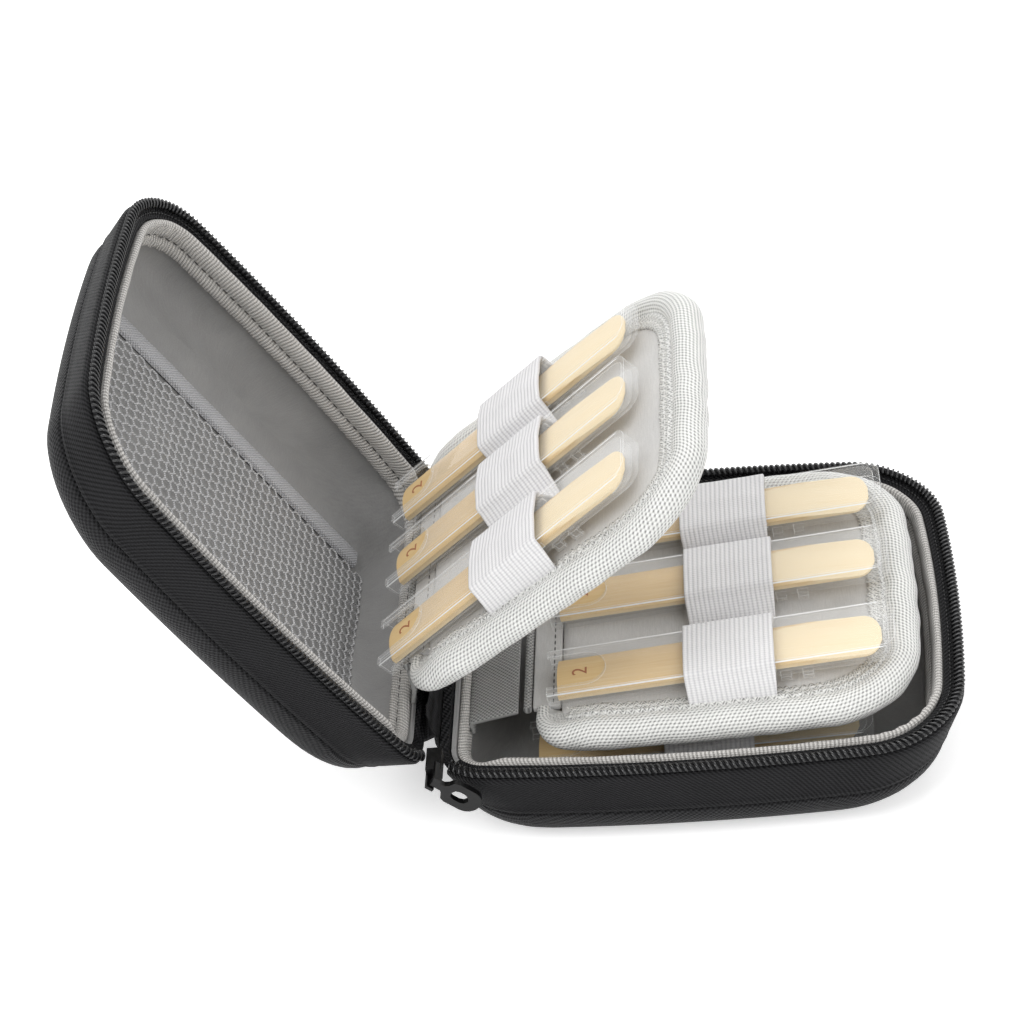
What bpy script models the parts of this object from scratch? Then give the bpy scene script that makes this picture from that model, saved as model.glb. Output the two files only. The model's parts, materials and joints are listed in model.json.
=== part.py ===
"""A zippered reed case standing open: base tray, lid, two padded leaves and nine reeds in clear holders.

The hinge axis runs along Y at the zipper's level. +X runs from the spine to the far end, -Y is the front.
The origin is the middle of the base's flat underside.
"""

import math

import bmesh
import bpy
from mathutils import Matrix

MM = 0.001

# Clearances
TOUCH = 0.3 * MM
SLIDE = 0.35 * MM
OVERRUN = 2.0 * MM

# Reeds
REED_LENGTH = 68.0 * MM
REED_HEEL_WIDTH = 10.8 * MM
REED_TIP_WIDTH = 11.8 * MM
REED_THICKNESS = 2.4 * MM
REED_TIP_THICKNESS = 0.35 * MM
REED_BARK_SHARE = 0.5
REED_INSET = 2.0 * MM
REED_EDGE_SHARE = 0.45

# Reed holders
HOLDER_END = 3.0 * MM
HOLDER_LENGTH = REED_INSET + REED_LENGTH + HOLDER_END
HOLDER_WIDTH = 13.8 * MM
HOLDER_HEIGHT = 4.2 * MM
HOLDER_TILT_DEGREES = 3.2
HOLDER_WALL = 0.7 * MM
HOLDER_PLATE = 0.7 * MM
HOLDER_LEDGE = 0.5 * MM
HOLDER_LEDGE_WIDTH = 1.4 * MM
HOLDER_CORNER = 3.6 * MM
NOTCH_WIDTH = 9.0 * MM
NOTCH_LENGTH = 12.5 * MM
FOOT_PLACE = 48.5 * MM
FOOT_LENGTH = 2.2 * MM
FOOT_PITCH = 4.6 * MM
FOOT_WIDTH = 1.3 * MM
FOOT_CLEAR = 1.2 * MM
BASE_HEEL_X = 17.5 * MM
BASE_HOLDER_PLACES = (-23.0 * MM, 0.5 * MM, 23.5 * MM)
LEAF_HOLDER_PLACES = (-21.6 * MM, 2.6 * MM, 23.6 * MM)

# Rim of each shell, measured on the middle of its zipper coil
RIM_END_ROOM = 18.7 * MM
RIM_SIDE_ROOM = 15.9 * MM
RIM_LENGTH = BASE_HEEL_X + HOLDER_LENGTH + RIM_END_ROOM
RIM_DEPTH = 2 * (max(BASE_HOLDER_PLACES) + HOLDER_WIDTH / 2 + RIM_SIDE_ROOM)
RIM_FAR_BULGE = 2.7 * MM
RIM_SIDE_BULGE = 2.8 * MM
RIM_FAR_RADIUS = 17.0 * MM
RIM_SPINE_RADIUS = 9.0 * MM
LEAST_RADIUS = 1.5 * MM

# Shells
SHELL_HEIGHT = 22.0 * MM
SHELL_WALL = 1.8 * MM
SPINE_GAP = 0.2 * MM
TUB_SHOULDER = 0.5 * MM
SHOULDER_DROP = 0.8 * MM
BAND_SIDE_FLARE = 0.8 * MM
BAND_FAR_LEAN = 3.4 * MM
BAND_SPINE_LEAN = 1.5 * MM
BAND_SPINE_RADIUS = 16.0 * MM
FLOOR_SIDE_INSET = 7.0 * MM
FLOOR_FAR_INSET = 15.0 * MM
FLOOR_SPINE_INSET = 12.0 * MM
FLOOR_FAR_RADIUS = 21.0 * MM
FLOOR_SPINE_RADIUS = 24.0 * MM
FLOOR_BULGE_SHARE = 0.2
LINING = 0.8 * MM
LINING_TOP = 4.2 * MM

# Zipper
COIL_OUT = 1.3 * MM
COIL_IN = 1.1 * MM
COIL_HEIGHT = 1.6 * MM
COIL_ROUND = 0.5 * MM
RIM_GAP = 0.15 * MM
TAPE = 0.8 * MM
TAPE_DROP = 11.5 * MM
TAPE_INNER_EDGE = 2.9 * MM

# Padded lip inside each rim
LIP = 1.5 * MM
LIP_TOP = 1.3 * MM
LIP_HEIGHT = 7.7 * MM
LIP_SPINE_DROP = 3.1 * MM
LIP_ROUND = 0.5 * MM

# Spine gusset, a strip folded into the wedge between the spine walls
GUSSET = 0.9 * MM
GUSSET_DROP = 9.0 * MM
GUSSET_TOP = 1.1 * MM
GUSSET_SIDE_INSET = 13.3 * MM
GUSSET_DEPTH = RIM_DEPTH - 2 * GUSSET_SIDE_INSET
GUSSET_FOLD_SHARE = 2.2

# Lid
LID_OPEN_DEGREES = 118.8

# Leaves
LEAF_END_INSET = 26.1 * MM
LEAF_SIDE_INSET = 7.0 * MM
LEAF_LENGTH = RIM_LENGTH - LEAF_END_INSET
LEAF_DEPTH = RIM_DEPTH - 2 * LEAF_SIDE_INSET
LEAF_FAR_BULGE = 1.5 * MM
LEAF_SIDE_BULGE = 1.3 * MM
LEAF_FAR_RADIUS = 18.0 * MM
LEAF_SPINE_RADIUS = 9.0 * MM
BORDER_RADIUS = 3.6 * MM
BORDER_END_INSET = 12.8 * MM
BORDER_END = LEAF_DEPTH / 2 - BORDER_END_INSET
BORDER_END_SHARES = (0.4, 0.4, 0.46, 0.72, 0.95)
PANEL = 3.2 * MM
PANEL_ROUND = 0.6 * MM
HEM = 1.6 * MM
HEM_START = 1.2 * MM
SEAM_RADIUS = 0.9 * MM
TAB = 1.0 * MM
TAB_SIDE_CLEAR = 0.5 * MM
TAB_DEPTH = 2 * (BORDER_END - TAB_SIDE_CLEAR)

LEAF_1_DEGREES = 37.3
LEAF_1_TAB_LENGTH = 7.84 * MM
LEAF_1_TAB_X = 6.5 * MM
LEAF_1_TAB_Z = 1.5 * MM
LEAF_1_TAB_DEGREES = -26.1
LEAF_1_ROOT_X = 4.3 * MM
LEAF_1_ROOT_Z = 3.6 * MM
LEAF_1_HEEL = -2.2 * MM

LEAF_2_DEGREES = 3.2
LEAF_2_TAB_LENGTH = 12.9 * MM
LEAF_2_TAB_X = 6.0 * MM
LEAF_2_TAB_Z = -5.0 * MM
LEAF_2_TAB_DEGREES = 13.4
LEAF_2_HEEL = 5.2 * MM

# Elastic straps
STRAP = 0.8 * MM
STRAP_START = 29.0 * MM
STRAP_WIDTH = 18.6 * MM
STRAP_CORNER = 0.5 * MM
STRAP_STITCH = 1.4 * MM
BASE_STRAP_EDGE = 33.5 * MM

# Pocket in the lid
NET_CORD = 0.8 * MM
NET_CLEAR = 0.5 * MM
NET_EDGE_CLEAR = 1.1 * MM
NET_COLUMNS = 17
NET_ROWS = 10
NET_BACK = 19.6 * MM
BINDING_WIDTH = 5.0 * MM
BINDING = 1.0 * MM
BINDING_ROUND = 0.2 * MM
BINDING_CORNER = 1.6 * MM

# Slider and pull
SLIDER_LEFT = 1.7 * MM
SLIDER_RIGHT = 1.5 * MM
SLIDER_FRONT_INSET = 1.7 * MM
SLIDER_LENGTH = 6.2 * MM
SLIDER_FRONT = RIM_DEPTH / 2 - SLIDER_FRONT_INSET
SLIDER_BACK = SLIDER_FRONT - SLIDER_LENGTH
SLIDER_BOTTOM = 1.9 * MM
SLIDER_TOP = 1.2 * MM
EAR = 0.7 * MM
EAR_REACH = 3.4 * MM
EAR_ROOT = 1.5 * MM
EAR_HEIGHT = 1.8 * MM
PULL_LENGTH = 11.5 * MM
PULL_WIDTH = 6.0 * MM
PULL = 1.3 * MM
PULL_HOLE_LENGTH = 4.2 * MM
PULL_HOLE_WIDTH = 2.6 * MM
PULL_HOLE_PLACE = 6.6 * MM
PULL_NECK = 1.6 * MM
PULL_NECK_LENGTH = 3.0 * MM
PULL_BAR_OUT = 2.4 * MM
PULL_DEGREES = 43.0

# Counts
SPINE_ARC_STEPS = 6
ZIP_START_STEP = 3
FAR_ARC_STEPS = 6
SIDE_STEPS = 6
FAR_STEPS = 4
SPINE_STEPS = 2
TUB_ARC_DEGREES = (0, 24, 48, 70, 90)

BLACK_NYLON = (0.012, 0.012, 0.013)
BLACK_COIL = (0.008, 0.008, 0.009)
GREY_WEAVE = (0.42, 0.41, 0.39)
GREY_FELT = (0.21, 0.21, 0.21)
LIGHT_FELT = (0.36, 0.35, 0.35)
LIGHT_MESH = (0.55, 0.55, 0.55)
LIGHT_ELASTIC = (0.56, 0.55, 0.55)
LAVENDER_TAPE = (0.42, 0.41, 0.45)
CLEAR_PLASTIC = (0.85, 0.87, 0.88)
REED_CANE = (0.83, 0.68, 0.38)


class Level:
    """How far a shell's outline lies inside the rim at one depth, on each side and at its corners."""

    def __init__(self, side, far, spine, far_radius, spine_radius, bulge_share=1.0):
        self.side = side
        self.far = far
        self.spine = spine
        self.far_radius = max(far_radius, LEAST_RADIUS)
        self.spine_radius = max(spine_radius, LEAST_RADIUS)
        self.bulge_share = bulge_share


class Outline:
    """A rounded rectangle from x = 0 to its length whose sides and far end bow outwards."""

    def __init__(self, length, depth, far_bulge, side_bulge, far_radius, spine_radius):
        self.far_bulge = far_bulge
        self.side_bulge = side_bulge
        self.length = length - far_bulge
        self.half = depth / 2 - side_bulge
        self.far_radius = far_radius
        self.spine_radius = spine_radius

    def inside(self, inset, spine_inset=None):
        """The level that far inside on every side, or with its own inset at the spine."""
        spine = inset if spine_inset is None else spine_inset
        return Level(inset, inset, spine, self.far_radius - inset, self.spine_radius - inset)

    def points(self, level, start_step=None, end_half=None):
        """The outline at a level: closed, or open where the spine side is left out.

        start_step starts it at that point of the corner's arc. end_half starts it on the spine side.
        """
        left, right, half = level.spine, self.length - level.far, self.half - level.side
        far, near = level.far_radius, level.spine_radius
        front = arc(left + near, -half + near, near, 180, 270, SPINE_ARC_STEPS)[start_step or 0 :]
        front += between((left + near, -half), (right - far, -half), SIDE_STEPS)
        front += arc(right - far, -half + far, far, 270, 360, FAR_ARC_STEPS)
        if end_half is not None:
            front = [(left, -end_half), *front]
        far_run = between((right, -half + far), (right, half - far), FAR_STEPS)
        back = [(x, -y) for x, y in reversed(front)]
        closed = start_step is None and end_half is None
        spine_run = between((left, half - near), (left, -half + near), SPINE_STEPS) if closed else []
        bow = [self.side_bulge * level.bulge_share, self.far_bulge * level.bulge_share]
        return [bowed(x, y, left, right, half, *bow) for x, y in front + far_run + back + spine_run]

    def front_at(self, x, level):
        """How far the outline's front lies from the middle at this x."""
        front = sorted(point for point in self.points(level) if point[1] < 0)
        for (x_a, y_a), (x_b, y_b) in zip(front, front[1:]):
            if x_a <= x <= x_b and x_b > x_a:
                return y_a + (y_b - y_a) * (x - x_a) / (x_b - x_a)
        return front[0][1]


def bowed(x, y, left, right, half, side_bulge, far_bulge):
    """The point moved out by the bulge that its place on the outline has."""
    along = 2 * (x - left) / (right - left) - 1
    across = y / half
    out_x = far_bulge * max(0.0, along) * (1 - across**2)
    return x + out_x, y + side_bulge * across * (1 - along**2)


def arc(x, y, radius, start, end, steps):
    """Points on an arc about (x, y), in degrees, both ends with it."""
    angles = [math.radians(start + (end - start) * i / steps) for i in range(steps + 1)]
    return [(x + radius * math.cos(a), y + radius * math.sin(a)) for a in angles]


def between(first, last, steps):
    """Evenly spaced points inside the straight from first to last."""
    shares = [i / (steps + 1) for i in range(1, steps + 1)]
    return [(first[0] + (last[0] - first[0]) * s, first[1] + (last[1] - first[1]) * s) for s in shares]


def clear_scene():
    for obj in list(bpy.data.objects):
        bpy.data.objects.remove(obj, do_unlink=True)


def new_collection(name):
    collection = bpy.data.collections.new(name)
    bpy.context.scene.collection.children.link(collection)
    return collection


def new_material(name, colour, roughness, metallic=0.0, alpha=1.0):
    material = bpy.data.materials.new(name)
    material.use_nodes = True
    shader = material.node_tree.nodes["Principled BSDF"]
    shader.inputs["Base Color"].default_value = (*colour, 1.0)
    shader.inputs["Roughness"].default_value = roughness
    shader.inputs["Metallic"].default_value = metallic
    shader.inputs["Alpha"].default_value = alpha
    return material


def new_frame(name, parent, place, degrees=0.0):
    """An empty at a joint's axis, turned up about -Y by so many degrees from its parent."""
    frame = bpy.data.objects.new(name, None)
    frame.location = place
    frame.rotation_euler = (0.0, -math.radians(degrees), 0.0)
    frame.parent = parent
    frame.empty_display_size = TAPE_DROP
    collections["part"].objects.link(frame)
    return frame


def new_object(name, mesh, material, parent, place=(0.0, 0.0, 0.0), degrees=0.0):
    """A named sub-part on its parent frame, turned up about -Y by so many degrees."""
    obj = bpy.data.objects.new(name, mesh)
    if not mesh.materials:
        mesh.materials.append(material)
    obj.location = place
    obj.rotation_euler = (0.0, -math.radians(degrees), 0.0)
    obj.parent = parent
    collections["part"].objects.link(obj)
    return obj


def add_bevel(obj, width, segments=1, angle=40.0):
    bevel = obj.modifiers.new("rounded edges", "BEVEL")
    bevel.width = width
    bevel.segments = segments
    bevel.limit_method = "ANGLE"
    bevel.angle_limit = math.radians(angle)


def box_mesh(name, low, high):
    """A box from its lowest to its highest corner."""
    bm = bmesh.new()
    bmesh.ops.create_cube(bm, size=1.0)
    for vert in bm.verts:
        vert.co = [lo + (hi - lo) * (0.5 + c) for lo, hi, c in zip(low, high, vert.co)]
    mesh = bpy.data.meshes.new(name)
    bm.to_mesh(mesh)
    bm.free()
    return mesh


def loft_mesh(name, rings, wrap_section, wrap_path):
    """A closed solid through rings of equal count. Open ends are closed by flat faces."""
    bm = bmesh.new()
    grid = [[bm.verts.new(point) for point in ring] for ring in rings]
    count = len(grid[0])
    for i in range(len(grid) if wrap_section else len(grid) - 1):
        ring, after = grid[i], grid[(i + 1) % len(grid)]
        for j in range(count if wrap_path else count - 1):
            k = (j + 1) % count
            bm.faces.new((ring[j], ring[k], after[k], after[j]))
    if not wrap_path:
        bm.faces.new([ring[0] for ring in grid])
        bm.faces.new([ring[-1] for ring in grid])
    elif not wrap_section:
        bm.faces.new(grid[0])
        bm.faces.new(grid[-1])
    bmesh.ops.recalc_face_normals(bm, faces=bm.faces)
    mesh = bpy.data.meshes.new(name)
    bm.to_mesh(mesh)
    bm.free()
    mesh.shade_smooth()
    mesh.set_sharp_from_angle(angle=math.radians(35))
    return mesh


def outline_mesh(name, points, low, high):
    """A flat outline as a filled 2D curve, made a solid between two heights."""
    curve = bpy.data.curves.new(name, "CURVE")
    curve.dimensions = "2D"
    curve.fill_mode = "BOTH"
    curve.extrude = (high - low) / 2
    spline = curve.splines.new("POLY")
    spline.points.add(len(points) - 1)
    for point, (x, y) in zip(spline.points, points):
        point.co = (x, y, 0.0, 1.0)
    spline.use_cyclic_u = True
    mesh = mesh_of_curve(name, curve)
    for vert in mesh.vertices:
        vert.co.z += (high + low) / 2
    return mesh


def mesh_of_curve(name, curve):
    """The curve's surface as a mesh with its caps welded."""
    guide = bpy.data.objects.new(name + "_guide", curve)
    bpy.context.scene.collection.objects.link(guide)
    graph = bpy.context.evaluated_depsgraph_get()
    mesh = bpy.data.meshes.new_from_object(guide.evaluated_get(graph))
    mesh.name = name
    bpy.data.objects.remove(guide, do_unlink=True)
    bpy.data.curves.remove(curve)
    bm = bmesh.new()
    bm.from_mesh(mesh)
    bmesh.ops.remove_doubles(bm, verts=bm.verts, dist=MM / 1000)
    bmesh.ops.recalc_face_normals(bm, faces=bm.faces)
    bm.to_mesh(mesh)
    bm.free()
    return mesh


def cut_mesh(name, mesh, cutters, unions=()):
    """The mesh with the cutters taken out and the unions joined on."""
    body = bpy.data.objects.new(name + "_blank", mesh)
    collections["cutters"].objects.link(body)
    for operation, others in (("UNION", unions), ("DIFFERENCE", cutters)):
        for other in others:
            helper = bpy.data.objects.new(other.name, other)
            helper.hide_render = True
            helper.display_type = "WIRE"
            collections["cutters"].objects.link(helper)
            boolean = body.modifiers.new(other.name, "BOOLEAN")
            boolean.operation = operation
            boolean.solver = "EXACT"
            boolean.object = helper
    body.hide_render = True
    body.display_type = "WIRE"
    graph = bpy.context.evaluated_depsgraph_get()
    result = bpy.data.meshes.new_from_object(body.evaluated_get(graph))
    result.name = name
    return result


RIM = Outline(RIM_LENGTH, RIM_DEPTH, RIM_FAR_BULGE, RIM_SIDE_BULGE, RIM_FAR_RADIUS, RIM_SPINE_RADIUS)
LEAF = Outline(LEAF_LENGTH, LEAF_DEPTH, LEAF_FAR_BULGE, LEAF_SIDE_BULGE, LEAF_FAR_RADIUS, LEAF_SPINE_RADIUS)

# Depths below the rim that follow from the sizes above
COIL_TOP = RIM_GAP
COIL_BOTTOM = COIL_TOP + COIL_HEIGHT
TAPE_TOP = COIL_BOTTOM + TOUCH
TAPE_BOTTOM = TAPE_TOP + TAPE
SHELL_TOP = TAPE_BOTTOM + TOUCH
LINING_SKIN = SHELL_WALL + TOUCH
LIP_SKIN = LINING_SKIN + LINING + TOUCH
FLOOR_DEPTH = SHELL_HEIGHT - LINING_SKIN - LINING
TUB_TOP = TAPE_DROP + TOUCH + SHOULDER_DROP
PANEL_TOP = PANEL / 2
BORDER_WIDTH = 2 * BORDER_RADIUS
HEM_END = BORDER_WIDTH


def wall_level(skin, depth):
    """The upright wall's outline at a depth, that far inside its outer face."""
    lean = min(1.0, max(0.0, (depth - SHELL_TOP) / (TAPE_DROP - SHELL_TOP)))
    return Level(
        side=skin - BAND_SIDE_FLARE * lean,
        far=skin + BAND_FAR_LEAN * lean,
        spine=skin + SPINE_GAP + BAND_SPINE_LEAN * lean,
        far_radius=RIM_FAR_RADIUS - skin,
        spine_radius=RIM_SPINE_RADIUS + (BAND_SPINE_RADIUS - RIM_SPINE_RADIUS) * lean - skin,
    )


def tub_ring(skin, degrees):
    """(level, depth) on the curve from the wall to the flat floor, that far inside its outer face."""
    across, down = math.cos(math.radians(degrees)), math.sin(math.radians(degrees))
    top = wall_level(0.0, TUB_TOP)

    def blend(start, end):
        return end + (start - end) * across

    level = Level(
        side=blend(top.side, FLOOR_SIDE_INSET) + skin * across,
        far=blend(top.far, FLOOR_FAR_INSET) + skin * across,
        spine=blend(top.spine, FLOOR_SPINE_INSET) + skin * across,
        far_radius=blend(top.far_radius, FLOOR_FAR_RADIUS) - skin * across,
        spine_radius=blend(top.spine_radius, FLOOR_SPINE_RADIUS) - skin * across,
        bulge_share=blend(1.0, FLOOR_BULGE_SHARE),
    )
    return level, TUB_TOP + (SHELL_HEIGHT - TUB_TOP - max(skin, 0.0)) * down


def tub_rings(skin, top, tub_skin=None):
    """(level, depth) down the wall and round to the floor. The tub below the band may have its own skin."""
    lower = skin if tub_skin is None else tub_skin
    wall = [(wall_level(skin, depth), depth) for depth in (top, TAPE_DROP + TOUCH)]
    return wall + [tub_ring(lower, degrees) for degrees in TUB_ARC_DEGREES]


def raised(levels, side, **ends):
    """Each level's outline at its depth; side is -1 in the base and 1 in the lid."""
    return [[(x, y, side * depth) for x, y in RIM.points(level, **ends)] for level, depth in levels]


def make_shell(name, side, parent):
    inner = tub_rings(SHELL_WALL, SHELL_TOP)
    outer = tub_rings(0.0, SHELL_TOP, tub_skin=-TUB_SHOULDER)
    mesh = loft_mesh(name, raised([*reversed(inner), *outer], side), wrap_section=False, wrap_path=True)
    return new_object(name, mesh, materials["shell"], parent)


def make_lining(name, side, parent):
    inner = tub_rings(LINING_SKIN + LINING, LINING_TOP)
    outer = tub_rings(LINING_SKIN, LINING_TOP)
    mesh = loft_mesh(name, raised([*reversed(inner), *outer], side), wrap_section=False, wrap_path=True)
    return new_object(name, mesh, materials["felt"], parent)


def wall_rings(profile, side, **ends):
    """One ring for each (skin, depth) of a section that stands on the wall."""
    return raised([(wall_level(skin, depth), depth) for skin, depth in profile], side, **ends)


def make_lip(name, side, parent):
    """A padded band inside the rim. Along the spine it starts lower, below the leaves' tabs."""
    bottom = LIP_TOP + LIP_HEIGHT
    profile = [
        (LIP_SKIN, bottom),
        (LIP_SKIN, LIP_TOP + LIP_ROUND),
        (LIP_SKIN + LIP_ROUND, LIP_TOP),
        (LIP_SKIN + LIP - LIP_ROUND, LIP_TOP),
        (LIP_SKIN + LIP, LIP_TOP + LIP_ROUND),
        (LIP_SKIN + LIP, bottom - LIP_ROUND),
    ]
    rings = []
    for skin, depth in profile:
        most = LIP_SPINE_DROP * (bottom - depth) / LIP_HEIGHT
        level, low = wall_level(skin, depth), wall_level(skin, depth + most)
        level.spine, level.spine_radius = low.spine, low.spine_radius
        flat = RIM.points(level)
        drops = [most * max(0.0, 1 - (x - level.spine) / RIM_SPINE_RADIUS) for x, y in flat]
        rings.append([(x, y, side * (depth + drop)) for (x, y), drop in zip(flat, drops)])
    mesh = loft_mesh(name, rings, wrap_section=True, wrap_path=True)
    return new_object(name, mesh, materials["lip"], parent)


def make_zip_tape(name, side, parent):
    profile = [
        (-TOUCH - TAPE, TAPE_DROP),
        (-TOUCH - TAPE, TAPE_TOP),
        (TAPE_INNER_EDGE, TAPE_TOP),
        (TAPE_INNER_EDGE, TAPE_BOTTOM),
        (-TOUCH, TAPE_BOTTOM),
        (-TOUCH, TAPE_DROP),
    ]
    rings = wall_rings(profile, side, start_step=ZIP_START_STEP)
    mesh = loft_mesh(name, rings, wrap_section=True, wrap_path=False)
    return new_object(name, mesh, materials["tape"], parent)


def make_zip_coil(name, side, parent):
    profile = [
        (-COIL_OUT, COIL_BOTTOM),
        (-COIL_OUT, COIL_TOP + COIL_ROUND),
        (-COIL_OUT + COIL_ROUND, COIL_TOP),
        (COIL_IN - COIL_ROUND, COIL_TOP),
        (COIL_IN, COIL_TOP + COIL_ROUND),
        (COIL_IN, COIL_BOTTOM),
    ]
    rings = wall_rings(profile, side, start_step=ZIP_START_STEP)
    mesh = loft_mesh(name, rings, wrap_section=True, wrap_path=False)
    return new_object(name, mesh, materials["coil"], parent)


def make_gusset(parent):
    """A strip down the base's spine wall, over the hinge axis and down the lid's spine wall."""
    turn = math.radians(LID_OPEN_DEGREES)

    def on_base(skin, depth):
        return wall_level(0.0, depth).spine - TOUCH - skin, -depth

    def on_lid(skin, depth):
        x = wall_level(0.0, depth).spine - TOUCH - skin
        return x * math.cos(turn) - depth * math.sin(turn), x * math.sin(turn) + depth * math.cos(turn)

    def on_fold(skin):
        return -skin * math.sin(turn / 2), skin * math.cos(turn / 2)

    section = [on_base(0.0, GUSSET_DROP), on_base(0.0, GUSSET_TOP), on_fold(GUSSET / 2)]
    section += [on_lid(0.0, GUSSET_TOP), on_lid(0.0, GUSSET_DROP), on_lid(GUSSET, GUSSET_DROP)]
    section += [on_lid(GUSSET, 2 * GUSSET_TOP), on_fold(GUSSET * GUSSET_FOLD_SHARE)]
    section += [on_base(GUSSET, 2 * GUSSET_TOP), on_base(GUSSET, GUSSET_DROP)]
    half = GUSSET_DEPTH / 2
    rings = [[(x, y, z) for y in (-half, half)] for x, z in section]
    mesh = loft_mesh("spine_gusset", rings, wrap_section=True, wrap_path=False)
    return new_object("spine_gusset", mesh, materials["shell"], parent)


def make_pocket(parent):
    """A net over the front of the lid's floor, and the tape that binds its back edge."""
    depth = FLOOR_DEPTH - NET_CLEAR - NET_CORD / 2
    skin = LINING_SKIN + LINING + NET_CORD / 2 + NET_EDGE_CLEAR
    down = (depth + BINDING / 2 - TUB_TOP) / (FLOOR_DEPTH - TUB_TOP)
    level, _ = tub_ring(skin, math.degrees(math.asin(down)))
    left, right = level.spine, RIM.length - level.far
    bm = bmesh.new()
    grid = []
    for i in range(NET_COLUMNS + 1):
        x = left + (right - left) * i / NET_COLUMNS
        front = RIM.front_at(x, level)
        column = [front + (NET_BACK - front) * j / NET_ROWS for j in range(NET_ROWS + 1)]
        grid.append([bm.verts.new((x, y, depth)) for y in column])
    for first, second in zip(grid, grid[1:]):
        for j in range(NET_ROWS):
            bm.faces.new((first[j], second[j], second[j + 1], first[j + 1]))
    mesh = bpy.data.meshes.new("pocket_net")
    bm.to_mesh(mesh)
    bm.free()
    net = new_object("pocket_net", mesh, materials["net"], parent)
    cords = net.modifiers.new("cords", "WIREFRAME")
    cords.thickness = NET_CORD
    cords.use_boundary = True
    cords.use_replace = True
    cords.use_even_offset = True
    low = (left + BINDING_CORNER, NET_BACK + NET_CORD / 2 + TOUCH, depth - BINDING / 2)
    high = (right, NET_BACK + NET_CORD / 2 + TOUCH + BINDING_WIDTH, depth + BINDING / 2)
    binding = new_object("pocket_binding", box_mesh("pocket_binding", low, high), materials["binding"], parent)
    add_bevel(binding, BINDING_ROUND)


def make_border(name, parent):
    """The thick padded edge round three sides of a leaf, tapering off at both ends on the spine side."""
    points = LEAF.points(LEAF.inside(BORDER_RADIUS), end_half=BORDER_END)
    curve = bpy.data.curves.new(name, "CURVE")
    curve.dimensions = "3D"
    curve.twist_mode = "Z_UP"
    curve.bevel_depth = BORDER_RADIUS
    curve.bevel_resolution = 2
    curve.use_fill_caps = True
    spline = curve.splines.new("POLY")
    spline.points.add(len(points) - 1)
    full = [1.0] * (len(points) - 2 * len(BORDER_END_SHARES))
    shares = [*BORDER_END_SHARES, *full, *reversed(BORDER_END_SHARES)]
    for point, (x, y), share in zip(spline.points, points, shares):
        point.co = (x, y, 0.0, 1.0)
        point.radius = share
    mesh = mesh_of_curve(name, curve)
    mesh.shade_smooth()
    mesh.set_sharp_from_angle(angle=math.radians(50))
    return new_object(name, mesh, materials["mesh_cloth"], parent)


def make_panel(name, parent):
    points = LEAF.points(LEAF.inside(BORDER_WIDTH + TOUCH))
    panel = new_object(name, outline_mesh(name, points, -PANEL / 2, PANEL / 2), materials["panel"], parent)
    add_bevel(panel, PANEL_ROUND)
    return panel


def make_hem(name, parent):
    half = BORDER_END - TOUCH
    mesh = box_mesh(name, (HEM_START, -half, -HEM / 2), (HEM_END, half, HEM / 2))
    hem = new_object(name, mesh, materials["panel"], parent)
    add_bevel(hem, HEM / 4)
    return hem


def strap_points(floor, places, edge, lift):
    """(y, z) along an elastic strap: down to the floor between holders, over each holder's top plate."""
    seat = floor + TOUCH + STRAP / 2
    top = floor + TOUCH + HOLDER_HEIGHT + SLIDE + STRAP / 2 + lift
    reach = HOLDER_WIDTH / 2 + SLIDE + STRAP / 2
    points = [(-edge, seat)]
    for i, place in enumerate(places):
        points += [(place - reach, top - STRAP_CORNER), (place - reach + STRAP_CORNER, top)]
        points += [(place + reach - STRAP_CORNER, top), (place + reach, top - STRAP_CORNER)]
        if i + 1 < len(places):
            middle = (place + places[i + 1]) / 2
            points += [(middle - STRAP_STITCH / 2, seat), (middle + STRAP_STITCH / 2, seat)]
    points.append((edge, seat))
    return points


def make_strap(name, parent, floor, heel, edge, places):
    """A woven elastic strip with one loop for each holder. Its loops rise with the holders' tilt."""
    slope = math.tan(math.radians(HOLDER_TILT_DEGREES))
    start, end = STRAP_START, STRAP_START + STRAP_WIDTH
    bm = bmesh.new()
    rows = []
    for along in (start, end):
        flat = strap_points(floor, places, edge, along * slope)
        rows.append([bm.verts.new((heel + along, y, z)) for y, z in flat])
    for j in range(len(rows[0]) - 1):
        bm.faces.new((rows[0][j], rows[1][j], rows[1][j + 1], rows[0][j + 1]))
    mesh = bpy.data.meshes.new(name)
    bm.to_mesh(mesh)
    bm.free()
    strap = new_object(name, mesh, materials["elastic"], parent)
    cloth = strap.modifiers.new("cloth", "SOLIDIFY")
    cloth.thickness = STRAP
    cloth.offset = 0.0
    cloth.use_even_offset = True
    return strap


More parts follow.
